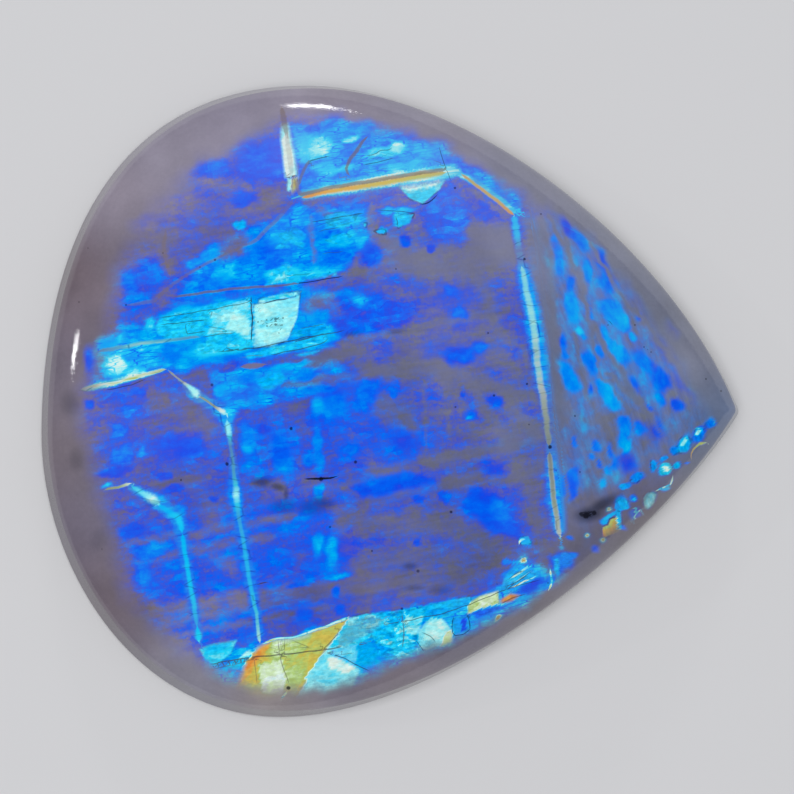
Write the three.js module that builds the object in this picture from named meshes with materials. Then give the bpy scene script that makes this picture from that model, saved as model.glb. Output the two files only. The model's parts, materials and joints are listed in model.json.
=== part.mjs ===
// A pear-shaped moonstone cabochon: one solid stone with a low dome, a leaning side wall
// and a flat back with a small bevel. Millimetres, +Z up. It lies on its flat back, and
// +X points to the tip. The origin is on the back, at the centre of the stone's outline.
import * as THREE from "three";
import { mergeVertices } from "three/addons/utils/BufferGeometryUtils.js";

// Driving dimensions of the whole stone
const stoneLength = 56;
const stoneWidth = 50.6;
const stoneHeight = 9;

// The outline, seen from above: where the head is widest, and how far the curves hold
// their direction there
const head = {
  topX: -6.7,
  bottomX: -8.9,
  leftY: -2.6,
  topReach: { left: 15.5, right: 12.8 },
  leftReach: { up: 15.2, down: 10.7 },
  bottomReach: { left: 11.6, right: 13 },
};

// The tip: the flanks meet at its sharp point, which is rounded off a little
const tip = {
  y: -0.95,
  sharpAhead: 0.084, // the point that the flanks aim at lies this far past the real tip
  upper: { degrees: 112, reach: 13.5, cutBack: 0.4 },
  lower: { degrees: 237, reach: 12.1, cutBack: 0.35 },
};

// The side, from the back upwards
const side = {
  bevelIn: 0.45,
  bevelHeight: 0.5,
  wallTop: 2.7,
  wallLean: 0.55, // how far the wall leans in by its top
};

// The dome springs from the wall at this slope and is level at the top
const dome = { springDegrees: 56, springReach: 4.4, levelReach: 12.4 };

// The level lines of the dome turn from the outline into a rounder oval near the top
const crown = { semiLength: 25, semiWidth: 23 };

const aroundSteps = 168;
const domeSteps = 17;

const meanRadius = (stoneLength + stoneWidth) / 4;

function alongDegrees(from, degrees, reach) {
  const angle = THREE.MathUtils.degToRad(degrees);
  return new THREE.Vector2(Math.cos(angle), Math.sin(angle)).multiplyScalar(reach).add(from);
}

// The closed outline of the girdle, anticlockwise from the tip
function outlinePath() {
  const halfLength = stoneLength / 2;
  const halfWidth = stoneWidth / 2;
  const sharp = new THREE.Vector2(halfLength + tip.sharpAhead, tip.y);
  const upperStart = alongDegrees(sharp, tip.upper.degrees, tip.upper.cutBack);
  const upperAim = alongDegrees(upperStart, tip.upper.degrees, tip.upper.reach);
  const lowerEnd = alongDegrees(sharp, tip.lower.degrees, tip.lower.cutBack);
  const lowerAim = alongDegrees(lowerEnd, tip.lower.degrees, tip.lower.reach);
  const upperTurn = sharp.clone().lerp(upperStart, 0.5);
  const lowerTurn = sharp.clone().lerp(lowerEnd, 0.5);
  const apex = upperTurn.clone().lerp(lowerTurn, 0.5);
  const path = new THREE.Path();
  path.moveTo(apex.x, apex.y);
  path.quadraticCurveTo(upperTurn.x, upperTurn.y, upperStart.x, upperStart.y);
  path.bezierCurveTo(
    upperAim.x, upperAim.y,
    head.topX + head.topReach.right, halfWidth,
    head.topX, halfWidth,
  );
  path.bezierCurveTo(
    head.topX - head.topReach.left, halfWidth,
    -halfLength, head.leftY + head.leftReach.up,
    -halfLength, head.leftY,
  );
  path.bezierCurveTo(
    -halfLength, head.leftY - head.leftReach.down,
    head.bottomX - head.bottomReach.left, -halfWidth,
    head.bottomX, -halfWidth,
  );
  path.bezierCurveTo(
    head.bottomX + head.bottomReach.right, -halfWidth,
    lowerAim.x, lowerAim.y,
    lowerEnd.x, lowerEnd.y,
  );
  path.quadraticCurveTo(lowerTurn.x, lowerTurn.y, apex.x, apex.y);
  return path;
}

// Half of the stone's section, from the middle of the back round to the top of the dome.
// The distance from the middle is a share of the way out to the outline.
function sectionProfile() {
  const wallTopOut = meanRadius - side.wallLean;
  const spring = alongDegrees(
    new THREE.Vector2(wallTopOut, side.wallTop),
    180 - dome.springDegrees,
    dome.springReach,
  );
  const domeCurve = new THREE.CubicBezierCurve(
    new THREE.Vector2(wallTopOut, side.wallTop),
    spring,
    new THREE.Vector2(dome.levelReach, stoneHeight),
    new THREE.Vector2(0, stoneHeight),
  );
  const points = [
    new THREE.Vector2(0, 0),
    new THREE.Vector2(meanRadius - side.bevelIn, 0),
    new THREE.Vector2(meanRadius, side.bevelHeight),
    ...domeCurve.getPoints(domeSteps),
  ];
  return points.map((p) => new THREE.Vector2(p.x / meanRadius, p.y));
}

// The point of the crown's oval in the direction of a point of the outline
function crownPoint(edge) {
  const beyondOval = Math.hypot(edge.x / crown.semiLength, edge.y / crown.semiWidth);
  return edge.clone().divideScalar(beyondOval);
}

// A round lathe of the section, whose rings are then drawn out to the pear's outline
function stoneGeometry() {
  const section = sectionProfile();
  const edges = outlinePath().getSpacedPoints(aroundSteps);
  const geometry = new THREE.LatheGeometry(section, aroundSteps);
  const position = geometry.getAttribute("position");
  for (let around = 0; around <= aroundSteps; around++) {
    const edge = edges[around % aroundSteps];
    const oval = crownPoint(edge);
    section.forEach((point, step) => {
      const onBack = point.y === 0;
      const share = onBack ? 1 : point.x ** 2;
      const place = oval.clone().lerp(edge, share).multiplyScalar(point.x);
      position.setXYZ(around * section.length + step, place.x, place.y, point.y);
    });
  }
  geometry.deleteAttribute("normal");
  geometry.deleteAttribute("uv");
  return mergeVertices(geometry, 1e-3);
}

function polishedStone() {
  return new THREE.MeshStandardMaterial({
    color: new THREE.Color().setRGB(0.36, 0.42, 0.68, THREE.SRGBColorSpace),
    roughness: 0.08,
    metalness: 0,
  });
}

const stone = new THREE.Mesh(stoneGeometry(), polishedStone());
stone.name = "moonstone";

const cabochon = new THREE.Group();
cabochon.add(stone);

export default cabochon;
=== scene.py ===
import json
import math
import bpy
import numpy as np
from mathutils import Matrix, Vector

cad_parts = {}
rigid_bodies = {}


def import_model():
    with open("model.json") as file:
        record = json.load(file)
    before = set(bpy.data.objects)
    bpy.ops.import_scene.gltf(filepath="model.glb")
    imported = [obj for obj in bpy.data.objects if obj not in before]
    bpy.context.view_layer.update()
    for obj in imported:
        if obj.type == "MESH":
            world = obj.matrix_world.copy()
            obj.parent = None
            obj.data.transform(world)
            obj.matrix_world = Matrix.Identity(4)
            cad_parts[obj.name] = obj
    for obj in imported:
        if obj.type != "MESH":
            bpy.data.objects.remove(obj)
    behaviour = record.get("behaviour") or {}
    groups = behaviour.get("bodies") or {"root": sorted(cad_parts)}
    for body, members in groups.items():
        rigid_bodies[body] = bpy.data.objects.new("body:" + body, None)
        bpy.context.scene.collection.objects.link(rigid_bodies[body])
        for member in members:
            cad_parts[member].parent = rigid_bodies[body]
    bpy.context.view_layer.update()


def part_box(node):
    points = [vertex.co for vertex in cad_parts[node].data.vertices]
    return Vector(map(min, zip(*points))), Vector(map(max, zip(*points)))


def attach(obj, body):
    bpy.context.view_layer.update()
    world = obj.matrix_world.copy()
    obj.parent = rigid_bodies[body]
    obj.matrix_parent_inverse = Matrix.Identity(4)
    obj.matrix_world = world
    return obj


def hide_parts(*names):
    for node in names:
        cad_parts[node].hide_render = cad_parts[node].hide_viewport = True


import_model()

mm = 0.001
pixelsPerMm = 12.44
farAway = 9.0  # in mm: where no line or speck is near
photoSide = 794  # the photo is square, and places in it are (right, down) in pixels from its top left

# The stone's shape, in millimetres. Its length, width and height come from the frame.
stone = {
    "name": "polishedStone",
    "topX": -6.7,  # where the head of the pear is widest, and how far its curves hold straight there
    "topReach": (15.5, 12.8),
    "bottomX": -8.9,
    "bottomReach": (11.6, 13),
    "leftY": -2.6,
    "leftReach": (15.2, 10.7),
    "tipY": -0.95,
    "tipAhead": 0.084,  # the point that the flanks aim at lies this far past the real tip
    "upperFlank": {"degrees": 112, "reach": 13.5, "cutBack": 0.4},
    "lowerFlank": {"degrees": 237, "reach": 12.1, "cutBack": 0.35},
    "bevelIn": 0.45,
    "bevelHeight": 0.5,
    "wallTop": 2.7,
    "wallLean": 0.55,
    "springDegrees": 56,
    "springReach": 4.4,
    "levelReach": 12.4,
    "crownLength": 25,
    "crownWidth": 23,
    "outlineSteps": 96,
    "sectionSteps": 600,
    "domeRings": 132,
    "wallHeights": (2.6, 2.0, 1.2, 0.6),
    "backShares": (0.995, 0.8, 0.6, 0.4, 0.2, 0),
    "unevenness": 0.015,  # how far lapping by hand leaves the surface wavy
    "lapSeed": 7,
}

# The camera looks down on the stone from a little to the lower left, as in the photo
view = {
    "lens": 100,
    "sensor": 36,
    "widthSeen": 63.72,
    "aim": (0.28, 0.16, 0.5),
    "lean": 5,
    "leanTowards": 222,
}


def linear(red, green, blue):
    # a colour as a screen shows it, 0 to 255, made linear
    parts = [c / 255 for c in (red, green, blue)]
    return [c / 12.92 if c < 0.04045 else ((c + 0.055) / 1.055) ** 2.4 for c in parts]


def fade(value, low, high):
    t = np.clip((value - low) / (high - low), 0, 1)
    return t * t * (3 - 2 * t)


def addObject(name, data):
    item = bpy.data.objects.new(name, data)
    bpy.context.scene.collection.objects.link(item)
    return item


# Node trees

class Wire:
    # a value that runs through a node tree, with the usual sums on it
    def __init__(self, socket):
        self.socket, self.tree = socket, socket.id_data

    def __add__(self, other):
        return maths("ADD", self, other)

    def __sub__(self, other):
        return maths("SUBTRACT", self, other)

    def __rsub__(self, other):
        return maths("SUBTRACT", other, self)

    def __mul__(self, other):
        return maths("MULTIPLY", self, other)

    def __truediv__(self, other):
        return maths("DIVIDE", self, other)

    def __abs__(self):
        return maths("ABSOLUTE", self)


def addNode(tree, kind, inputs=None, **settings):
    node = tree.nodes.new(kind)
    for name, value in settings.items():
        setattr(node, name, value)
    for name, value in (inputs or {}).items():
        if isinstance(value, Wire):
            tree.links.new(value.socket, node.inputs[name])
        else:
            node.inputs[name].default_value = value
    return node


def wire(tree, kind, inputs=None, output=0, **settings):
    return Wire(addNode(tree, kind, inputs, **settings).outputs[output])


def maths(operation, first, *others, clamp=False):
    tree = (first if isinstance(first, Wire) else others[0]).tree
    inputs = dict(enumerate((first, *others)))
    return wire(tree, "ShaderNodeMath", inputs, operation=operation, use_clamp=clamp)


def larger(first, second):
    return maths("MAXIMUM", first, second)


def smaller(first, second):
    return maths("MINIMUM", first, second)


def vectors(operation, first, *others):
    inputs = dict(enumerate((first, *others)))
    output = "Value" if operation == "LENGTH" else "Vector"
    return wire(first.tree, "ShaderNodeVectorMath", inputs, output, operation=operation)


def scaled(vector, factor):
    return wire(vector.tree, "ShaderNodeVectorMath", {0: vector, "Scale": factor}, operation="SCALE")


def split(vector):
    return [Wire(part) for part in addNode(vector.tree, "ShaderNodeSeparateXYZ", {0: vector}).outputs]


def makeCamera():
    data = bpy.data.cameras.new("lookingDown")
    data.lens = view["lens"]
    data.sensor_width = view["sensor"]
    lean, towards = math.radians(view["lean"]), math.radians(view["leanTowards"])
    flat = math.sin(lean)
    back = Vector((flat * math.cos(towards), flat * math.sin(towards), math.cos(lean)))
    right = Vector((0, 1, 0)).cross(back).normalized()
    up = back.cross(right)
    place = Vector(view["aim"]) * mm + back * (view["widthSeen"] * mm * view["lens"] / view["sensor"])
    camera = addObject("lookingDown", data)
    camera.matrix_world = Matrix.Translation(place) @ Matrix((right, up, back)).transposed().to_4x4()
    bpy.context.scene.camera = camera
    return camera


def placesInPhoto(points, camera):
    # where the camera sees points of the stone, in the photo's pixels
    turned = np.array(camera.matrix_world.inverted())
    seen = points @ turned[:3, :3].T + turned[:3, 3]
    reach = view["lens"] / view["sensor"] * photoSide
    right = photoSide / 2 - seen[:, 0] / seen[:, 2] * reach
    down = photoSide / 2 + seen[:, 1] / seen[:, 2] * reach
    return np.stack([right, down], 1)


# The stone's body

def along(start, degrees, reach):
    angle = math.radians(degrees)
    return Vector((start[0] + math.cos(angle) * reach, start[1] + math.sin(angle) * reach))


def outlineKnots(halfLength, halfWidth):
    # (arriving handle, knot, leaving handle) of the girdle's outline, anticlockwise from the tip
    upper, lower = stone["upperFlank"], stone["lowerFlank"]
    sharp = Vector((halfLength + stone["tipAhead"], stone["tipY"]))
    upperStart = along(sharp, upper["degrees"], upper["cutBack"])
    lowerEnd = along(sharp, lower["degrees"], lower["cutBack"])
    top = np.array((stone["topX"], halfWidth))
    left = np.array((-halfLength, stone["leftY"]))
    bottom = np.array((stone["bottomX"], -halfWidth))
    right, up = np.eye(2)
    return [
        (upperStart.lerp(sharp, 2 / 3), upperStart, along(upperStart, upper["degrees"], upper["reach"])),
        (top + stone["topReach"][1] * right, top, top - stone["topReach"][0] * right),
        (left + stone["leftReach"][0] * up, left, left - stone["leftReach"][1] * up),
        (bottom - stone["bottomReach"][0] * right, bottom, bottom + stone["bottomReach"][1] * right),
        (along(lowerEnd, lower["degrees"], lower["reach"]), lowerEnd, lowerEnd.lerp(sharp, 2 / 3)),
    ]


def makeOutline(halfLength, halfWidth):
    knots = outlineKnots(halfLength, halfWidth)
    curve = bpy.data.curves.new("girdleOutline", "CURVE")
    curve.dimensions = "3D"
    spline = curve.splines.new("BEZIER")
    spline.bezier_points.add(len(knots) - 1)
    for point, knot in zip(spline.bezier_points, knots):
        point.handle_left_type = point.handle_right_type = "FREE"
        arriving, place, leaving = ((x * mm, y * mm, 0) for x, y in knot)
        point.co, point.handle_left, point.handle_right = place, arriving, leaving
    spline.use_cyclic_u = True
    spline.resolution_u = stone["outlineSteps"]
    return addObject("girdleOutline", curve)


def bezier(start, startHandle, endHandle, end, t):
    points = [np.array(p, float)[:, None] for p in (start, startHandle, endHandle, end)]
    weights = [(1 - t) ** 3, 3 * t * (1 - t) ** 2, 3 * t * t * (1 - t), t ** 3]
    return sum(p * w for p, w in zip(points, weights))


def sectionPoints(meanRadius, height):
    # (share of the way out, height in mm) of each ring, from the top of the dome to the back's middle
    wallTopOut = meanRadius - stone["wallLean"]
    wallTop = (wallTopOut, stone["wallTop"])
    spring = along(wallTop, 180 - stone["springDegrees"], stone["springReach"])
    level = (stone["levelReach"], height)
    out, up = bezier((0, height), level, spring, wallTop, np.linspace(0, 1, stone["sectionSteps"]))
    domeOut = np.linspace(0, wallTopOut, stone["domeRings"] + 1)
    rings = list(zip(domeOut, np.interp(domeOut, out, up)))
    climb = stone["wallTop"] - stone["bevelHeight"]
    for wallHeight in stone["wallHeights"]:
        climbed = (wallHeight - stone["bevelHeight"]) / climb
        rings.append((meanRadius - stone["wallLean"] * climbed, wallHeight))
    backOut = meanRadius - stone["bevelIn"]
    rings.append((meanRadius, stone["bevelHeight"]))
    rings.append((meanRadius - stone["bevelIn"] * 0.9, stone["bevelHeight"] * 0.1))
    rings += [(backOut * share, 0) for share in (1, *stone["backShares"])]
    return [(out / meanRadius, up) for out, up in rings]


def makeSection(rings):
    curve = bpy.data.curves.new("stoneSection", "CURVE")
    curve.dimensions = "3D"
    spline = curve.splines.new("POLY")
    spline.points.add(len(rings) - 1)
    for point, (share, height) in zip(spline.points, rings):
        point.co = (share, 0, height * mm, 1)
    return addObject("stoneSection", curve)


def bodyTree():
    # a square grid whose square rings become the stone's rings: each is drawn out to the outline
    tree = bpy.data.node_groups.new("stoneBody", "GeometryNodeTree")
    sockets = {
        "Outline": "Object", "Section": "Object", "Rings": "Int", "Crown length": "Float",
        "Crown width": "Float", "Unevenness": "Float", "Seed": "Float", "Finish": "Material",
    }
    for name, kind in sockets.items():
        tree.interface.new_socket(name=name, in_out="INPUT", socket_type="NodeSocket" + kind)
    tree.interface.new_socket(name="Geometry", in_out="OUTPUT", socket_type="NodeSocketGeometry")
    group = addNode(tree, "NodeGroupInput").outputs
    given = {name: Wire(group[name]) for name in sockets}

    across = given["Rings"] * 2.0 + 1.0
    sides = {"Size X": 2.0, "Size Y": 2.0, "Vertices X": across, "Vertices Y": across}
    grid = wire(tree, "GeometryNodeMeshGrid", sides, "Mesh")
    position = wire(tree, "GeometryNodeInputPosition")
    x, y, _ = split(position)
    ring = maths("ROUND", larger(abs(x), abs(y)) * given["Rings"])
    turn = maths("FRACT", maths("MULTIPLY_ADD", maths("ARCTAN2", y, x), 0.5 / math.pi, 1.0))

    outline, section = (
        wire(tree, "GeometryNodeObjectInfo", {"Object": given[name]}, "Geometry")
        for name in ("Outline", "Section")
    )
    edgeInputs = {"Curves": outline, "Factor": turn}
    edge = wire(tree, "GeometryNodeSampleCurve", edgeInputs, "Position", mode="FACTOR", use_all_curves=True)
    ringInputs = {"Geometry": section, "Value": position, "Index": ring}
    share, _, height = split(
        wire(tree, "GeometryNodeSampleIndex", ringInputs, "Value", data_type="FLOAT_VECTOR", domain="POINT")
    )

    # the crown's oval in the edge point's direction
    edgeX, edgeY, _ = split(edge)
    flattened = {"X": edgeX / given["Crown length"], "Y": edgeY / given["Crown width"]}
    beyondOval = vectors("LENGTH", wire(tree, "ShaderNodeCombineXYZ", flattened))
    oval = scaled(edge, maths("DIVIDE", 1.0, beyondOval))
    onBack = maths("LESS_THAN", height, 1e-6)
    towardsEdge = larger(onBack, maths("POWER", share, 2.0))
    mix = {"Factor": towardsEdge, 4: oval, 5: edge}
    drawn = wire(tree, "ShaderNodeMix", mix, 1, data_type="VECTOR", factor_mode="UNIFORM")
    place = vectors("ADD", scaled(drawn, share), wire(tree, "ShaderNodeCombineXYZ", {"Z": height}))

    ringed = {"Geometry": grid, "Name": "ring", "Value": ring}
    named = wire(tree, "GeometryNodeStoreNamedAttribute", ringed, data_type="FLOAT", domain="POINT")
    shaped = wire(tree, "GeometryNodeSetPosition", {"Geometry": named, "Position": place})
    welded = wire(tree, "GeometryNodeMergeByDistance", {"Geometry": shaped, "Distance": 1e-6})

    # lapping by hand leaves the polished faces a little wavy, always inwards
    lap = {"W": given["Seed"], "Scale": 90.0, "Detail": 1.0}
    depth = wire(tree, "ShaderNodeTexNoise", lap, noise_dimensions="4D") * given["Unevenness"] * -1.0
    inwards = scaled(wire(tree, "GeometryNodeInputNormal"), depth * (1.0 - onBack))
    wavy = wire(tree, "GeometryNodeSetPosition", {"Geometry": welded, "Offset": inwards})

    smooth = wire(tree, "GeometryNodeSetShadeSmooth", {"Geometry": wavy})
    real = wire(tree, "GeometryNodeRealizeInstances", {"Geometry": smooth})
    finished = wire(tree, "GeometryNodeSetMaterial", {"Geometry": real, "Material": given["Finish"]})
    addNode(tree, "NodeGroupOutput", {"Geometry": finished})
    return tree


def makeBody(finish):
    low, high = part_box("moonstone")
    length, width, height = [(h - l) / mm for l, h in zip(low, high)]
    meanRadius = (length + width) / 4
    outline = makeOutline(length / 2, width / 2)
    rings = sectionPoints(meanRadius, height)
    section = makeSection(rings)
    tree = bodyTree()
    holder = addObject("stoneHolder", bpy.data.meshes.new("stoneHolder"))
    modifier = holder.modifiers.new("stoneBody", "NODES")
    modifier.node_group = tree
    values = {
        "Outline": outline,
        "Section": section,
        "Rings": len(rings) - 1,
        "Crown length": stone["crownLength"] * mm,
        "Crown width": stone["crownWidth"] * mm,
        "Unevenness": stone["unevenness"] * mm,
        "Seed": float(stone["lapSeed"]),
        "Finish": finish,
    }
    for item in tree.interface.items_tree:
        if item.in_out == "INPUT":
            modifier[item.identifier] = values[item.name]
    bpy.context.view_layer.update()
    depsgraph = bpy.context.evaluated_depsgraph_get()
    mesh = bpy.data.meshes.new_from_object(holder.evaluated_get(depsgraph))
    holder.modifiers.clear()
    for helper in (holder, outline, section):
        bpy.data.objects.remove(helper)
    mesh.name = stone["name"]
    print("body:", len(mesh.vertices), "vertices,", len(mesh.polygons), "faces")
    return addObject(stone["name"], mesh), rings, meanRadius


def pointsAndRings(mesh):
    # the mesh's points, and the ring of the stone that each lies on
    points = np.empty(len(mesh.vertices) * 3, np.float32)
    mesh.vertices.foreach_get("co", points)
    ring = np.empty(len(mesh.vertices), np.float32)
    mesh.attributes["ring"].data.foreach_get("value", ring)
    return points.reshape(-1, 3), np.round(ring).astype(int)


# What shows inside the stone. Places are the photo's pixels, written one after another (right,down,
# right,down), and sizes are millimetres. "order" is how far a layer's colour has climbed from no flash (0)
# through violet, blue, azure, cyan, white, yellow-green and gold to orange (1).
flash = {
    "grainLean": 9.7,  # the crystal's own direction, rising to the right
    "fieldOrder": 0.33,
    "fieldCover": 0.52,
    "fieldGrit": 0.14,
    "wobble": 0.03,  # how unevenly veins and cracks run, in mm
    # where the flash ends and the milky rim begins
    "edge": [
        272,116, 300,108, 345,112, 385,120, 425,136, 462,150, 496,172, 530,198, 560,218, 596,243, 628,276,
        656,316, 676,348, 694,380, 712,408, 718,424, 704,444, 688,462, 668,486, 645,508, 622,534, 598,552,
        574,570, 548,592, 505,618, 468,640, 430,655, 384,672, 334,690, 298,697, 250,696, 215,680, 182,658,
        150,632, 126,600, 112,560, 102,516, 88,470, 77,430, 78,392, 94,350, 104,312, 110,284, 120,256,
        138,224, 168,188, 200,158, 238,138,
    ],
    "edgeSoft": (2.6, 1.2),  # in mm, at the left and at the right
    "edgeSoftFrom": (90, 420),  # how far right those two lie
    "paneFade": (0.1, 1.5),  # how far from that edge the panes begin and end to fade
    # right of the long vein the crystal runs steeply down
    "steepLean": -70,
    "steepZone": [530,205, 540,270, 551,352, 557,430, 566,530, 590,560, 760,440, 700,300],
    "paintedWallShade": 0.74,  # painted shade: the wall catches more light from below, so its milk is darkened
    # slow drifts over the stone: how much, over cells of this many pixels, and a seed
    "warp": ((2.2, 9, 1), (2.2, 9, 2)),
    "orderDrift": (0.04, 40, 3),
    "coverDrift": (0.1, 30, 4),
    "edgeDrift": (0.35, 24, 5),
    # paths: how unevenly they run in mm, a seed, and where they begin and end to fade in half widths
    "hazeRun": (0.05, 6, 0.1, 1.5),
    "streamRun": (0.08, 8, 0.2, 1.6),
    "hazeCover": 0.85,
    "patchSquareness": 2.6,
    "veilOff": 0.025,
    "blendReach": 25,  # in pixels: how gently milk and veil go from place to place
    "pathStep": 7,  # in pixels
    "pathReach": 24,  # in pixels
    "taper": 0.3,  # in mm: over how far a path comes to its point
}

# Broad areas: corners, order, how fully the flash covers the milky body, softness in mm, blockiness
areas = {
    "top blue": ([287,122, 340,116, 400,130, 455,150, 520,200, 516,214, 456,176, 300,192], 0.53, 0.95, 0.5,
        0.12),
    "beside the upright vein": ([205,165, 240,136, 284,128, 290,182, 240,186], 0.35, 0.85, 0.8, 0.1),
    "upper left": ([150,205, 285,190, 275,215, 225,250, 168,258, 144,232], 0.33, 0.42, 0.7, 0.1),
    "left lens": ([104,262, 158,250, 166,278, 150,312, 106,306], 0.42, 0.86, 0.7, 0.1),
    "azure mosaic": ([186,282, 212,246, 262,224, 300,204, 372,204, 374,236, 352,262, 300,284, 170,304],
        0.52, 1, 0.4, 0.1),
    "fish": ([160,312, 186,302, 300,286, 344,292, 360,330, 330,350, 240,362, 168,372, 150,340], 0.55, 1,
        0.4, 0.07),
    "left bright": ([94,336, 128,322, 158,330, 160,366, 92,388, 90,356], 0.6, 1, 0.5, 0.12),
    "below the fish": ([206,372, 340,356, 352,380, 300,398, 226,412], 0.54, 0.9, 0.4, 0.1),
    "middle blue": ([312,300, 366,296, 420,300, 404,332, 352,350, 330,342], 0.38, 0.9, 0.5, 0.14),
    "right of the triangle": ([420,206, 452,184, 466,196, 468,240, 446,250, 424,226], 0.44, 0.85, 0.4,
        0.12),
    "under the thin gold": ([462,186, 512,222, 486,222, 466,214], 0.36, 0.75, 0.3, 0.1),
    "outside the thin gold": ([470,172, 502,178, 520,204, 500,198], 0.52, 0.85, 0.4, 0.1),
    "quiet corner": ([468,226, 510,222, 518,262, 470,262], 0.3, 0.12, 0.6, 0.08),
    "violet middle right": ([418,284, 488,272, 512,330, 430,340], 0.32, 0.54, 0.7, 0.08),
    "under the haze": ([385,340, 500,332, 520,372, 470,372, 384,362], 0.32, 0.42, 0.6, 0.08),
    "middle field": ([330,376, 396,372, 430,440, 414,466, 330,470, 300,420], 0.38, 0.76, 0.7, 0.1),
    "left field": ([88,396, 160,378, 222,420, 232,500, 180,500, 130,482, 98,474], 0.36, 0.62, 0.5, 0.12),
    "long blue strip": ([338,480, 400,470, 436,478, 438,490, 388,502, 366,500], 0.39, 1, 0.22, 0.05),
    "big blue patch": ([462,508, 472,488, 498,492, 518,530, 520,540, 488,530], 0.385, 1, 0.3, 0.04),
    "azure block": ([276,540, 300,532, 340,530, 346,572, 320,578, 284,572], 0.5, 1, 0.3, 0.07),
    "between the veins": ([236,424, 296,420, 300,484, 240,480], 0.43, 0.8, 0.5, 0.12),
    "lower left field": ([120,540, 182,520, 300,500, 352,520, 352,580, 300,590, 262,640, 200,648, 146,624],
        0.4, 0.82, 0.6, 0.1),
    "lower middle field": ([300,592, 360,560, 400,545, 470,590, 330,620, 270,640], 0.35, 0.6, 0.7, 0.08),
    "bottom band": ([204,646, 262,645, 347,618, 403,609, 470,597, 505,585, 540,562, 570,575, 530,616,
        480,646, 440,668, 392,684, 330,704, 256,706, 202,676], 0.6, 1, 0.16, 0.12),
    "right zone": ([524,214, 570,222, 640,276, 706,370, 734,420, 660,512, 600,562, 556,548, 552,470,
        544,380, 528,270], 0.5, 0.24, 0.5, 0.03),
    "under the edge": ([546,222, 598,234, 628,290, 600,306, 556,306], 0.53, 0.46, 0.7, 0.03),
    "amid the drops": ([562,320, 650,330, 690,390, 640,432, 572,428], 0.52, 0.4, 0.6, 0.03),
    "lower right strip": ([560,540, 572,508, 640,468, 700,428, 734,420, 660,516, 590,580], 0.4, 0.1, 0.4,
        0.04),
}

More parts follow.
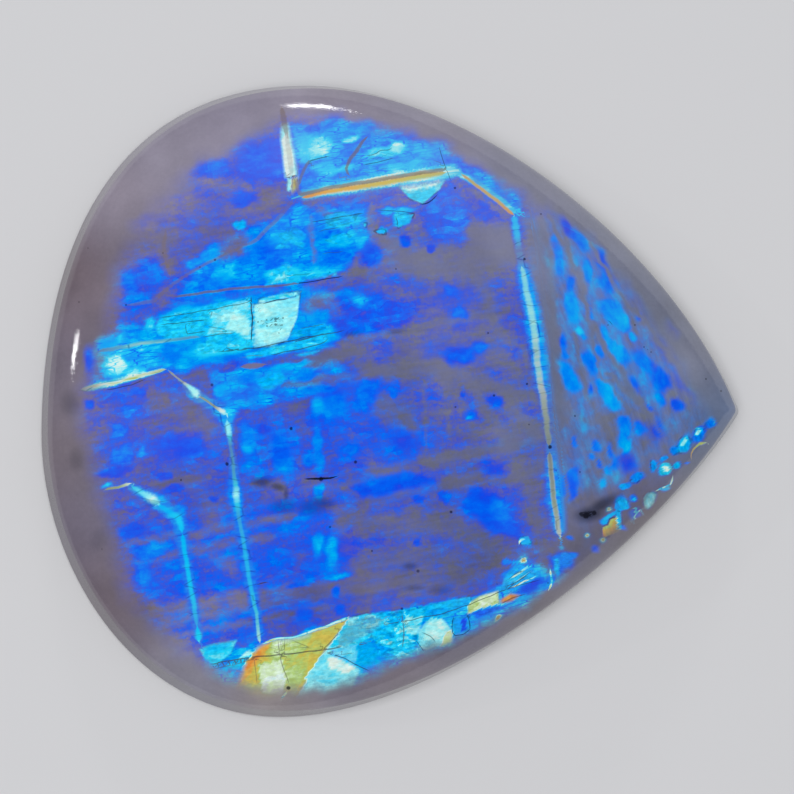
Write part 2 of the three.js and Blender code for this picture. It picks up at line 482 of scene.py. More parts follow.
# Patches of flash: place, length and width in mm, lean in degrees, order, softness, and how fully
# each covers the milk where its order alone doesn't say
patches = {
    "upper left": [
        (257, 155, 3.4, 3, 10, 0.44, 0.9), (209, 170, 3.2, 1.4, 16, 0.43, 0.8),
        (244, 199, 2.6, 1.3, 10, 0.39, 0.6), (152, 222, 3.4, 1.4, 10, 0.3, 0.9, 0.35),
        (239, 225, 1.4, 0.7, 10, 0.64, 0.5), (130, 284, 1.5, 2.2, 10, 0.47, 0.9),
        (209, 254, 2.2, 1, 12, 0.56, 0.5), (194, 262, 1.6, 0.8, 12, 0.56, 0.5),
        (279, 239, 2.2, 1.2, 10, 0.62, 0.5), (258, 246, 2.6, 0.9, 10, 0.53, 0.5),
        (231, 272, 0.9, 1.3, 10, 0.7, 0.6), (222, 275, 1.5, 1.4, 10, 0.6, 0.6),
        (282, 274, 3, 1.1, 10, 0.72, 0.5), (296, 236, 1.8, 0.9, -14, 0.62, 0.4),
    ],
    "by the orange vein": [
        (317, 147, 3, 2.3, 10, 0.75, 0.5), (303, 146, 1.4, 3, 10, 0.68, 0.7),
        (352, 139, 1.6, 0.5, 8, 0.73, 0.4), (385, 152, 3.6, 1, 10, 0.73, 0.35),
        (398, 148, 1.4, 0.9, 10, 0.77, 0.4), (324, 167, 2, 0.9, 10, 0.66, 0.4),
        (378, 163, 2.6, 0.5, 10, 0.62, 0.4), (425, 152, 4.4, 2, 10, 0.6, 0.8),
        (338, 170, 3.4, 0.6, 10, 0.7, 0.4), (404, 166, 3.6, 0.8, 10, 0.66, 0.5),
        (356, 128, 4, 1, 6, 0.56, 0.8), (398, 210, 3.6, 0.7, 4, 0.64, 0.4),
        (403, 219, 1.6, 1.2, 0, 0.68, 0.35), (344, 216, 3.4, 0.7, 10, 0.63, 0.4),
        (346, 223, 3.4, 0.6, 10, 0.66, 0.4), (344, 240, 2.8, 1.3, 12, 0.65, 0.5),
        (362, 240, 1, 0.9, 0, 0.62, 0.5), (382, 231, 1, 0.6, -20, 0.62, 0.4),
        (371, 256, 2, 2.4, 0, 0.42, 0.6), (405, 241, 1, 1, 0, 0.34, 0.4),
        (430, 248, 0.8, 0.7, 0, 0.34, 0.4), (320, 272, 3.8, 0.8, 9, 0.66, 0.4),
        (292, 277, 1.8, 1.2, 9, 0.68, 0.6),
    ],
    "fish": [
        (181, 314, 4.2, 1, 10, 0.62, 0.4), (170, 327, 2, 0.8, 10, 0.62, 0.3),
        (197, 326, 2.6, 0.9, 10, 0.67, 0.3), (184, 337, 4, 0.7, 10, 0.62, 0.3),
        (228, 348, 4.6, 1.4, 10, 0.66, 0.5), (322, 338, 3.6, 0.8, 10, 0.58, 0.4),
        (149, 323, 1.1, 1.4, 0, 0.74, 0.7), (222, 346, 5.6, 1.6, 10, 0.7, 0.5),
        (292, 366, 3.4, 0.7, 10, 0.6, 0.4), (320, 318, 1.8, 1.4, 10, 0.55, 0.5),
        (322, 331, 2.4, 0.7, 8, 0.62, 0.4), (360, 299, 1.5, 1.2, -20, 0.66, 0.8),
        (350, 292, 1.2, 1, 0, 0.5, 0.8),
    ],
    "left bright": [
        (117, 366, 2.4, 2, 20, 0.77, 0.6), (136, 372, 2, 0.8, 10, 0.74, 0.5),
        (117, 340, 1.4, 0.5, 40, 0.74, 0.5), (108, 345, 2, 1.6, 10, 0.6, 0.7),
        (150, 350, 2.4, 0.5, 10, 0.66, 0.5), (128, 357, 1.2, 0.5, -20, 0.55, 0.5),
    ],
    "left veins": [
        (193, 393, 1.3, 1.1, -45, 0.72, 0.7), (228, 414, 1.6, 1.1, 0, 0.72, 0.8),
        (220, 392, 1.2, 1, 0, 0.6, 0.6), (247, 437, 1.3, 3.2, 5, 0.5, 0.5),
        (246, 450, 0.9, 0.9, 0, 0.62, 0.8), (234, 495, 1.2, 3.4, 5, 0.56, 0.9),
        (178, 512, 1.5, 1.6, -30, 0.56, 0.7), (158, 500, 1.6, 1.2, -35, 0.56, 0.7),
        (90, 360, 1, 2.4, 0, 0.36, 0.9), (224, 388, 1.4, 0.5, 0, 0.62, 0.5),
    ],
    "left field": [
        (90, 404, 1, 1, 0, 0.45, 0.5), (137, 392, 1.4, 0.8, 0, 0.43, 0.4),
        (126, 410, 0.7, 0.6, 0, 0.4, 0.4), (118, 431, 1.3, 1.2, 0, 0.46, 0.4),
        (126, 446, 0.9, 0.6, 0, 0.46, 0.4), (122, 457, 2.4, 1.5, 10, 0.48, 0.4),
        (142, 453, 0.6, 0.7, 0, 0.52, 0.4), (187, 450, 2.8, 1.7, 6, 0.46, 0.5),
        (176, 446, 4.2, 2.2, 10, 0.3, 0.8), (115, 472, 3.2, 0.8, 10, 0.38, 0.4),
        (164, 476, 1.4, 0.8, 0, 0.36, 0.4), (174, 489, 1.8, 0.8, 6, 0.38, 0.4),
        (107, 486, 0.9, 0.4, 10, 0.64, 0.5), (134, 531, 2.6, 1.2, 8, 0.4, 0.5),
        (149, 552, 2.8, 1.4, 10, 0.5, 0.4), (143, 575, 1.5, 1.8, 10, 0.5, 0.6),
        (214, 500, 1, 0.8, 0, 0.36, 0.5), (280, 450, 1.6, 3.4, 4, 0.46, 0.5),
        (284, 466, 1.6, 1.6, 0, 0.5, 0.5), (308, 460, 1.2, 1.8, 0, 0.48, 0.5),
        (270, 380, 2.6, 1.2, 10, 0.62, 0.6), (248, 376, 1.6, 1.2, 0, 0.5, 0.7),
        (265, 430, 1.4, 0.9, 0, 0.36, 0.5),
    ],
    "middle": [
        (319, 407, 1.6, 1.6, 0, 0.62, 0.7), (334, 404, 2.2, 2.6, 10, 0.48, 0.5),
        (318, 450, 1, 4.2, 3, 0.53, 0.5), (318, 492, 1, 1.5, 0, 0.58, 0.4),
        (368, 392, 1.8, 2.2, 0, 0.44, 0.4), (392, 393, 0.7, 1.1, 0, 0.44, 0.3),
        (318, 390, 3.6, 0.7, 9, 0.5, 0.4), (306, 375, 2.2, 1.1, 9, 0.5, 0.5),
        (404, 440, 2.6, 1.8, 0, 0.38, 0.6), (350, 450, 1.6, 0.8, 6, 0.42, 0.4),
        (471, 414, 1.4, 0.9, 0, 0.46, 0.6), (467, 416, 0.5, 0.2, 8, 0.7, 0.5),
        (480, 346, 1.4, 1.2, 0, 0.42, 0.6), (462, 395, 0.7, 0.6, 0, 0.36, 0.5),
        (495, 400, 1.4, 1.1, 0, 0.34, 0.6), (452, 292, 1.2, 1, 0, 0.42, 0.6),
        (460, 314, 1.6, 0.9, 0, 0.42, 0.5), (496, 468, 2.4, 1.6, 0, 0.36, 0.7),
        (418, 500, 1.2, 0.9, 0, 0.36, 0.4), (444, 497, 1, 1.1, 0, 0.4, 0.4),
        (460, 356, 2.8, 1.6, 0, 0.34, 0.6), (500, 510, 2.2, 2.2, -40, 0.5, 0.6),
    ],
    "lower middle": [
        (318, 545, 0.8, 2.4, 3, 0.56, 0.4), (333, 552, 1, 2.8, 3, 0.58, 0.5),
        (338, 577, 2, 0.5, 10, 0.54, 0.4), (336, 592, 1, 1.2, 0, 0.45, 0.4),
        (340, 610, 0.9, 1, 0, 0.42, 0.4), (303, 518, 1.6, 0.6, 10, 0.5, 0.4),
        (418, 542, 0.8, 0.8, 0, 0.4, 0.5), (350, 548, 2, 2.6, 0, 0.32, 0.7),
        (298, 586, 2.4, 0.5, 10, 0.42, 0.4), (304, 614, 1.4, 1, 0, 0.38, 0.5),
    ],
    "glow between the drops": [
        (555, 256, 7, 1.5, -82, 0.52, 0.9, 0.6), (571, 300, 6, 1.7, -76, 0.52, 0.9, 0.55),
        (582, 252, 4.6, 1.3, -66, 0.5, 0.9, 0.5), (600, 264, 5, 1.4, -66, 0.47, 0.9, 0.5),
        (611, 318, 6.6, 1.7, -60, 0.53, 0.9, 0.55), (571, 378, 5.4, 1.8, -66, 0.53, 0.9, 0.45),
        (594, 366, 6.2, 1.5, -60, 0.52, 0.9, 0.45), (611, 396, 5.6, 1.6, -62, 0.53, 0.9, 0.5),
        (655, 384, 6.2, 1.9, -56, 0.46, 0.9, 0.45), (640, 350, 4.6, 1.2, -56, 0.44, 0.9, 0.35),
        (628, 432, 4.6, 1.8, -76, 0.48, 0.9, 0.4), (590, 440, 5.6, 2.4, -76, 0.54, 0.9, 0.34),
        (604, 470, 4.6, 2.8, -60, 0.54, 0.9, 0.32), (576, 470, 5.4, 1.2, -84, 0.46, 0.9, 0.4),
        (652, 430, 3.6, 2, -60, 0.34, 0.9, 0.4), (584, 420, 4.6, 2, -72, 0.52, 0.9, 0.36),
        (664, 348, 3.4, 1.2, -60, 0.34, 0.9, 0.3), (682, 386, 3.4, 1.2, -58, 0.3, 0.9, 0.3),
        (634, 300, 4.4, 1.2, -62, 0.44, 0.9, 0.3),
    ],
    "drops": [
        (556, 237, 0.9, 0.9, 0, 0.54, 0.6), (558, 258, 2.8, 0.9, -80, 0.49, 0.7),
        (566, 226, 2, 0.8, -60, 0.36, 0.8), (579, 240, 2.2, 1, -50, 0.52, 0.5),
        (587, 270, 2.4, 0.7, -78, 0.52, 0.5), (602, 261, 2.6, 1.1, -70, 0.44, 0.8),
        (608, 284, 1.7, 1.6, -30, 0.46, 0.8), (570, 284, 1.4, 0.7, -80, 0.5, 0.6),
        (572, 307, 2.8, 1.2, -80, 0.56, 0.45), (579, 331, 0.9, 0.7, -40, 0.68, 0.6),
        (584, 337, 0.7, 0.4, -50, 0.55, 0.6), (589, 312, 2.2, 0.7, -75, 0.48, 0.7),
        (611, 311, 2.6, 1.8, -58, 0.56, 0.35), (624, 324, 1.6, 1.2, -58, 0.57, 0.4),
        (632, 336, 1, 0.7, -58, 0.62, 0.5), (638, 318, 0.9, 0.7, -70, 0.48, 0.7),
        (606, 336, 2.4, 0.7, -62, 0.55, 0.4), (614, 347, 1.5, 0.7, -60, 0.54, 0.4),
        (622, 356, 1.8, 1.2, -60, 0.54, 0.45), (600, 351, 1.1, 0.6, -65, 0.5, 0.5),
        (569, 377, 3.2, 1.4, -64, 0.57, 0.35), (563, 342, 1.6, 0.7, -75, 0.46, 0.7),
        (566, 354, 1, 0.6, -60, 0.48, 0.6), (591, 362, 2.4, 1.4, -56, 0.51, 0.5),
        (602, 387, 1.9, 0.9, -66, 0.55, 0.4), (612, 398, 2.5, 1.2, -66, 0.57, 0.35),
        (644, 362, 2.4, 1.2, -45, 0.46, 0.6), (661, 380, 2.2, 1.6, -60, 0.45, 0.4),
        (661, 399, 1.3, 0.7, -70, 0.52, 0.5), (677, 404, 1.4, 1.1, -60, 0.44, 0.6),
        (624, 424, 1.9, 1.1, -75, 0.51, 0.4), (624, 438, 1.6, 0.9, -100, 0.5, 0.5),
        (640, 427, 1.4, 0.9, -70, 0.54, 0.6), (646, 407, 1.2, 0.7, -40, 0.44, 0.6),
        (634, 384, 1.8, 0.8, -60, 0.42, 0.7), (575, 441, 1.3, 0.5, -80, 0.46, 0.6),
        (657, 430, 1.6, 1.2, -75, 0.33, 0.8), (596, 446, 1.2, 0.5, -70, 0.46, 0.7),
        (591, 458, 0.7, 0.7, 0, 0.52, 0.7), (573, 478, 1.7, 1, -85, 0.44, 0.5),
        (562, 486, 1.8, 0.6, -85, 0.44, 0.5), (572, 492, 1.6, 0.7, -85, 0.46, 0.5),
        (597, 447, 0.8, 0.4, -80, 0.5, 0.6), (611, 452, 1.4, 0.6, -80, 0.46, 0.7),
        (627, 449, 1.6, 0.5, -118, 0.56, 0.7), (615, 464, 1.2, 0.6, -100, 0.52, 0.7),
        (607, 470, 0.9, 0.7, -80, 0.54, 0.6), (602, 484, 0.7, 0.6, -80, 0.6, 0.6),
        (599, 464, 0.8, 0.4, -80, 0.46, 0.7), (628, 464, 2, 1.6, -70, 0.3, 0.8),
        (590, 388, 1, 0.5, -70, 0.44, 0.8), (671, 330, 1.8, 0.9, -60, 0.3, 0.9, 0.3),
    ],
    "lower right chain": [
        (710, 424, 1, 0.8, 40, 0.46, 0.5), (712, 423, 0.3, 0.4, 0, 0.68, 0.6),
        (699, 434, 1.5, 1, 60, 0.47, 0.4), (697.5, 431.5, 0.7, 0.5, 60, 0.78, 0.4),
        (684.5, 444, 1.5, 1.1, 70, 0.58, 0.35), (684, 442, 1, 0.4, 65, 0.76, 0.5),
        (674.5, 450.5, 0.8, 0.7, 40, 0.5, 0.5), (664, 458, 0.8, 0.4, 30, 0.53, 0.5),
        (654, 466, 0.5, 1, 0, 0.54, 0.5), (653, 463, 0.2, 0.3, 0, 0.66, 0.5),
        (666, 468.5, 1.05, 1.1, 0, 0.69, 0.3), (666.5, 468, 0.6, 0.4, 10, 0.84, 0.5),
        (677, 465.5, 0.5, 0.6, 0, 0.62, 0.4), (686, 463, 0.5, 0.3, 10, 0.5, 0.6),
        (635.5, 478.5, 1.4, 0.7, 28, 0.52, 0.4), (624.5, 487, 0.9, 0.5, 20, 0.56, 0.4),
        (633.5, 498, 0.6, 0.7, 60, 0.46, 0.5), (633.5, 499, 0.3, 0.3, 0, 0.72, 0.5),
        (621, 504, 1, 1.2, 40, 0.57, 0.5), (624, 508, 0.8, 0.4, 20, 0.64, 0.5),
        (619, 516, 0.6, 1.6, 0, 0.62, 0.4), (623, 528, 0.5, 0.6, 20, 0.5, 0.6),
        (609, 516, 1.4, 0.4, 25, 0.64, 0.5), (604, 521, 0.7, 0.5, 0, 0.6, 0.5),
        (609, 509, 0.5, 0.5, 0, 0.87, 0.7, 0.6), (650, 500, 1.4, 0.9, 52, 0.79, 0.4, 0.6),
        (647, 505, 0.4, 0.5, 0, 0.84, 0.5, 0.6), (665, 488, 0.9, 0.4, 18, 0.64, 0.4, 0.8),
        (635, 513, 1, 0.9, 30, 0.45, 0.5, 0.5), (603, 541, 0.6, 0.6, 30, 0.9, 0.8, 0.5),
        (587, 535, 0.5, 0.5, 0, 0.96, 0.9, 0.5), (596, 550, 0.7, 0.7, 0, 0.36, 0.6, 0.7),
        (570, 538, 0.5, 0.5, 0, 0.46, 0.6), (560, 549, 0.6, 0.5, 20, 0.66, 0.7, 0.5),
        (525, 541, 1.2, 0.6, -10, 0.62, 0.4), (521, 541, 0.5, 0.3, 20, 0.78, 0.5),
        (511, 562, 1.6, 0.5, 5, 0.56, 0.4), (524, 559, 0.8, 0.9, 0, 0.95, 0.9, 0.45),
        (512, 573, 2.4, 0.9, 28, 0.56, 0.4), (526, 570, 1.6, 0.3, 25, 0.78, 0.4),
        (562, 562, 2, 1.6, 10, 0.48, 0.5), (556, 568, 0.4, 1.6, 0, 0.66, 0.5),
        (572, 556, 1, 0.7, 20, 0.5, 0.5), (548, 583, 1.4, 0.8, 60, 0.52, 0.4),
        (530, 586, 2.2, 1, 20, 0.38, 0.5), (499, 617, 0.5, 0.5, 0, 0.95, 0.9, 0.4),
    ],
}

# Panes of flash with sharp edges: corners, order, softness in mm, blockiness
panes = {
    "upright": ([280.4,137, 281.5,124, 288,123, 290.5,134, 298,175.5, 285.2,177.6], 0.755, 0.2, 0.01),
    "upright white": ([281.6,141, 285,133, 289,134, 296.8,175, 285.8,176.8], 0.785, 0.15, 0),
    "upright foot": ([287.6,178, 293,178, 292,187, 290,192, 286.6,190.5], 0.75, 0.12, 0.02),
    "upright foot's gold": ([292.4,178, 297,177, 297.5,188, 292,193, 291.4,186], 0.862, 0.25, 0.02),
    "triangle": ([394,182, 447,177, 440,189, 423,204, 410,199], 0.71, 0.1, 0.05),
    "triangle's white": ([394,181, 447,174, 436,186, 404,191], 0.775, 0.3, 0.03),
    "fish body": ([157,321, 164,316, 209,305, 228,301, 250,298, 253,313, 253,343, 228,350, 198,355,
        195,350, 209,339, 203,335, 187,337, 172,339, 160,336, 156,329], 0.665, 0.14, 0.08),
    "fish middle": ([209,312, 228,304, 248,299, 252,312, 252,340, 241,339, 234,333, 205,336, 211,326],
        0.72, 0.5, 0.05),
    "fish middle's heart": ([224,330, 235,312, 248,317, 251,328, 247,336, 234,331], 0.762, 0.4, 0.02),
    "fish head": ([254,305, 262,303, 291,298, 300,296, 297,318, 289,336, 285,341, 271,346, 254,348], 0.745,
        0.08, 0.03),
    "fish head's heart": ([257,310, 267,307, 272,313, 262,324, 256,325], 0.762, 0.3, 0.02),
    "fish head's foot": ([254,329, 277,331, 289,329, 286,340, 270,345, 255,347], 0.755, 0.4, 0.04),
    "fish crest": ([259,299, 281,294, 301,291, 297,296, 285,298, 267,302, 259,303], 0.72, 0.1, 0.05),
    "fish steps": ([244,354, 271,348, 305,339, 328,333, 327,341, 299,349, 271,355, 248,359], 0.65, 0.14,
        0.08),
    "fish steps' light": ([271,346, 285,346, 283,353, 269,354], 0.7, 0.12, 0.05),
    "fish right steps": ([291,338, 299,329, 325,323, 327,329, 305,336], 0.62, 0.12, 0.08),
    "fish last step": ([293,355, 321,349, 319,352, 304,357], 0.61, 0.12, 0.05),
    "under the lens": ([257,382, 269,373, 282,374, 284,382, 270,390, 261,388], 0.62, 0.2, 0.06),
    "mosaic foot": ([265,286, 274,271, 283,265, 292,267, 294,281], 0.67, 0.2, 0.08),
    "mosaic foot's heart": ([270,284, 276,276, 286,275, 290,280], 0.74, 0.3, 0.04),
    "mosaic row": ([296,281, 310,276, 336,271, 337,275, 300,281], 0.66, 0.15, 0.1),
    "mosaic triangle": ([396,215, 414,214, 411,220, 398,228], 0.67, 0.07, 0.04),
    "mosaic leaf": ([278,235, 286,233, 306,244, 303,248, 291,243], 0.63, 0.12, 0.05),
    "mosaic leaf two": ([287,229, 298,228, 308,236, 300,237], 0.6, 0.12, 0.05),
    "mosaic leaf three": ([272,249, 280,244, 292,246, 290,248], 0.66, 0.12, 0.05),
    "mosaic block": ([326,240, 343,233, 351,236, 336,243], 0.64, 0.1, 0.05),
    "mosaic block two": ([324,215, 364,209, 364,213, 326,219], 0.59, 0.1, 0.08),
    "mosaic block three": ([326,222, 356,217, 354,222, 334,226], 0.62, 0.1, 0.08),
    "mosaic drop": ([361,223, 367,223, 366,228], 0.67, 0.06, 0.03),
    "mosaic drop two": ([373,230, 385,229, 386,234, 379,234], 0.62, 0.07, 0.05),
    "mosaic top left": ([231,223, 243,221, 246,228, 238,230], 0.61, 0.12, 0.05),
    "lower cyan": ([199,649, 212,644, 237,640, 231,653, 216,666, 205,659], 0.7, 0.12, 0.04),
    "lower cyan top": ([204,650, 214,645, 235,641, 228,647, 206,655], 0.66, 0.2, 0.04),
    "thin cyan": ([224,667, 250,650, 256,652, 252,662, 236,669], 0.68, 0.15, 0.08),
    "thin cyan's white": ([238,659, 247,651, 253,652, 248,657], 0.76, 0.1, 0.03),
    "yellow": ([260,646, 272,640, 300,636, 326,627, 349,618, 342,629, 325,651, 293,704, 250,704, 234,690],
        0.866, 0.2, 0.02),
    "orange edge": ([259,647, 272,641, 266,652, 256,662, 249,676, 238,684, 247,660], 0.9, 0.3, 0.02),
    "orange edge's heart": ([258,651, 264,650, 254,662, 246,671, 244,668], 0.94, 0.25, 0.02),
    "green middle": ([275,641, 312,634, 306,650, 296,656, 268,660, 266,652], 0.845, 0.5, 0.03),
    "green shade": ([272,640, 281,639, 279,660, 272,662], 0.83, 0.3, 0.03),
    "pale middle": ([258,664, 282,660, 290,668, 282,696, 262,694], 0.805, 0.45, 0.02),
    "pale strip": ([283,664, 298,660, 312,650, 302,680, 290,704], 0.852, 0.5, 0.02),
    "yellow's side": ([348,620, 346,626, 302,704, 292,704, 326,650], 0.75, 0.16, 0.03),
    "aqua triangle": ([349,618, 368,613, 372,636, 360,644, 326,652], 0.7, 0.1, 0.07),
    "white lens": ([324,652, 344,659, 360,670, 350,692, 304,704, 306,676], 0.73, 0.16, 0.03),
    "white lens heart": ([326,656, 339,658, 355,668, 344,675, 329,668], 0.784, 0.3, 0.01),
    "azure wedge": ([357,646, 368,641, 379,652, 376,666, 366,668, 357,661], 0.62, 0.4, 0.05),
    "pale wedge": ([327,652, 342,649, 358,645, 357,659, 352,662, 340,656], 0.728, 0.5, 0.03),
    "cyan shards": ([352,620, 364,614, 403,610, 418,612, 418,652, 392,660, 380,656, 372,634], 0.655, 0.12,
        0.13),
    "shard run": ([404,612, 440,603, 470,596, 472,606, 452,614, 416,624], 0.61, 0.1, 0.08),
    "green block": ([404,618, 424,616, 418,634, 406,636], 0.735, 0.2, 0.06),
    "white block": ([418,632, 430,617, 442,618, 453,632, 451,642, 426,650, 418,646], 0.748, 0.14, 0.03),
    "white block's heart": ([428,622, 441,621, 448,634, 432,642, 424,638], 0.775, 0.25, 0.02),
    "white block's corner": ([446,632, 453,630, 452,642, 440,647], 0.82, 0.2, 0.02),
    "blue box": ([453,620, 460,616, 469,617, 470,632, 456,639, 453,632], 0.58, 0.08, 0.06),
    "violet box": ([462,619, 467,619, 466,630, 461,632], 0.34, 0.3, 0.05),
    "yellow green": ([468,604, 480,596, 498,591, 499,604, 484,608, 468,614], 0.834, 0.12, 0.03),
    "pale green": ([478,598, 496,592, 499,601, 482,606], 0.81, 0.15, 0.03),
    "blue under the block": ([472,612, 500,605, 508,607, 476,619], 0.45, 0.2, 0.1),
    "tan lens": ([500,600, 510,594, 520,595, 512,601, 502,603], 0.96, 0.14, 0.01),
    "orange lens": ([504,599, 509,596, 513,597, 507,600], 0.895, 0.14, 0.01),
    "shards": ([500,590, 506,574, 522,566, 538,570, 534,580, 512,590], 0.59, 0.14, 0.09),
    "gold block": ([602,527, 608,525, 610,519, 617,517, 620,532, 603,538], 0.885, 0.07, 0.02),
    "gold block's corner": ([602,530, 606,537, 603,538], 0.92, 0.1, 0.02),
    "gold block's top": ([602,527, 608,525, 610,519, 614,518, 611,527, 603,530], 0.85, 0.1, 0.02),
    "chain one": ([705,425, 709,420, 714,421, 713,426, 708,429], 0.46, 0.06, 0.04),
    "chain two": ([693,440, 695,430, 702,428, 706,434, 702,440, 695,443], 0.5, 0.06, 0.05),
    "chain two's white": ([695,436, 696,430, 701,430, 698,436], 0.77, 0.07, 0.02),
    "chain three": ([678,449, 680,439, 687,434, 691,443, 687,452, 680,453], 0.6, 0.06, 0.06),
    "chain three's white": ([680,443, 686,436, 689,439, 684,446, 681,447], 0.75, 0.07, 0.03),
    "chain four": ([671,448, 677,446, 678,453, 673,455], 0.5, 0.06, 0.04),
    "chain five": ([660,457, 668,455, 669,459, 662,461], 0.55, 0.06, 0.05),
    "chain six": ([651,461, 655,460, 657,469, 652,472], 0.56, 0.06, 0.05),
    "ring": ([660,466, 664,462, 670,463, 673,469, 669,475, 662,474], 0.69, 0.06, 0.04),
    "ring's heart": ([663,467, 668,465, 671,469, 666,472], 0.8, 0.08, 0.02),
    "small ring": ([674,464, 678,462, 681,466, 677,470], 0.62, 0.06, 0.03),
    "grey green": ([643,498, 648,492, 656,494, 654,505, 645,510], 0.74, 0.07, 0.05),
    "sliver": ([661,490, 665,485, 673,486, 669,490], 0.64, 0.06, 0.05),
    "lower area": ([615,503, 621,498, 628,501, 625,509, 619,511, 614,509], 0.6, 0.07, 0.06),
    "lower stem": ([616,511, 621,512, 622,529, 618,530], 0.62, 0.07, 0.05),
    "slope one": ([629,482, 640,474, 644,476, 636,483], 0.54, 0.07, 0.04),
    "slope two": ([620,489, 627,484, 630,487, 623,491], 0.56, 0.07, 0.04),
    "corner blue": ([552,556, 566,552, 574,558, 568,570, 556,572], 0.5, 0.12, 0.07),
    "corner cyan": ([554,560, 559,558, 559,572, 555,574], 0.64, 0.08, 0.06),
    "curl's cyan": ([518,538, 528,536, 532,543, 522,545], 0.62, 0.07, 0.05),
}

# Bright veins: path, half width in mm, order, and how fully each covers the milk (1 if not given).
# Each is one number, or one for each point of the path.
veins = {
    "orange fringe": ([300,197, 325,191, 350,187, 392,180, 430,174.5, 452,171.5, 460,173], [0.6, 0.8, 0.88,
        0.92, 0.95, 0.8, 0.4], [0.66, 0.74, 0.76, 0.775, 0.78, 0.77, 0.74], [0.6, 0.9, 0.9, 0.9, 1, 0.9,
        0.7]),
    "thin gold fringe": ([452,170, 476,183, 496,197, 516,213], [0.4, 0.36, 0.36, 0.4], [0.75, 0.66, 0.68,
        0.7], [0.9, 0.8, 0.8, 0.9]),
    "junction": ([515,209, 522,213], [0.34, 0.3], [0.66, 0.68]),
    "long halo": ([514,214, 517,236, 519,250, 521,262, 523.5,275, 531,306, 538,352, 541,378, 546,404,
        548,430, 550.5,450, 554,480, 557,512, 560,534], [0.5, 0.55, 0.5, 0.5, 0.85, 1.05, 1.1, 1, 0.75,
        0.5, 0.65, 1, 1, 0.75], [0.6, 0.56, 0.54, 0.52, 0.56, 0.58, 0.58, 0.56, 0.5, 0.46, 0.52, 0.56,
        0.56, 0.58], [1, 0.9, 0.3, 0.45, 1, 1, 0.95, 0.9, 0.5, 0.3, 0.6, 0.95, 1, 0.8]),
    "left cream": ([80,390, 95,387, 106,384, 133,378, 166,369], [0.24, 0.4, 0.44, 0.36, 0.2], [0.82, 0.82,
        0.8, 0.8, 0.82], [0.05, 0.4, 0.75, 0.9, 0.6]),
    "left upper line": ([98,352, 128,346, 156,342, 200,337], [0.2, 0.24, 0.22, 0.12], [0.6, 0.7, 0.72,
        0.6], [0.3, 0.6, 0.6, 0.4]),
    "beaded halo": ([228,424, 232,455, 236,495, 241,530, 249,575, 255,606, 260,640], [0.35, 0.4, 0.75,
        0.66, 0.7, 0.7, 0.5], [0.5, 0.48, 0.55, 0.5, 0.49, 0.49, 0.5], [0.9, 0.6, 1, 0.9, 0.9, 0.9, 0.9]),
    "lower left halo": ([126,484, 143,494, 163,507, 179,520, 183,545, 190,584, 196,621, 199,642], [0.4,
        0.7, 0.95, 0.9, 0.7, 0.66, 0.6, 0.5], [0.52, 0.58, 0.57, 0.54, 0.5, 0.49, 0.49, 0.54], [0.6, 0.9,
        0.9, 0.9, 0.9, 0.9, 0.8, 0.8]),
    "corner halo": ([184,384, 200,398, 224,414, 230,436], [0.4, 0.7, 0.9, 0.5], [0.54, 0.54, 0.6, 0.52],
        [0.5, 0.6, 1, 0.8]),
    "band upper edge": ([262,644, 272,640, 300,635, 326,626, 349,617], [0.14, 0.14, 0.1, 0.14, 0.2], [0.79,
        0.8, 0.79, 0.79, 0.79]),
    "row line": ([284,276, 336,272], [0.1, 0.08], [0.74, 0.7]),
    "pale thread": ([655,491, 661,489, 671,484, 673,476], [0.12, 0.1, 0.12, 0.16], [0.8, 0.72, 0.76, 0.79],
        [0.7, 0.8, 0.8, 0.6]),
    "scribble": ([632,509, 637,507, 634,513, 640,510, 633,518, 637,518], 0.08, [0.7, 0.74, 0.7, 0.74, 0.74,
        0.78], 0.5),
    "curl": ([519,545, 520,540, 526,539], [0.14, 0.16, 0.12], [0.8, 0.78, 0.7]),
    "shard edge": ([510,579, 520,572, 530,567], [0.12, 0.14, 0.1], [0.78, 0.79, 0.76]),
    "shard edge below": ([510,588, 524,582, 536,576], [0.08, 0.12, 0.08], [0.78, 0.79, 0.74]),
    "right edge curl": ([550,568, 552,582, 548,591], [0.12, 0.14, 0.1], [0.8, 0.74, 0.78]),
    "pit streak": ([288,690, 284,695, 281,700], [0.1, 0.16, 0.14], 0.8, [0.5, 0.4, 0.1]),
}

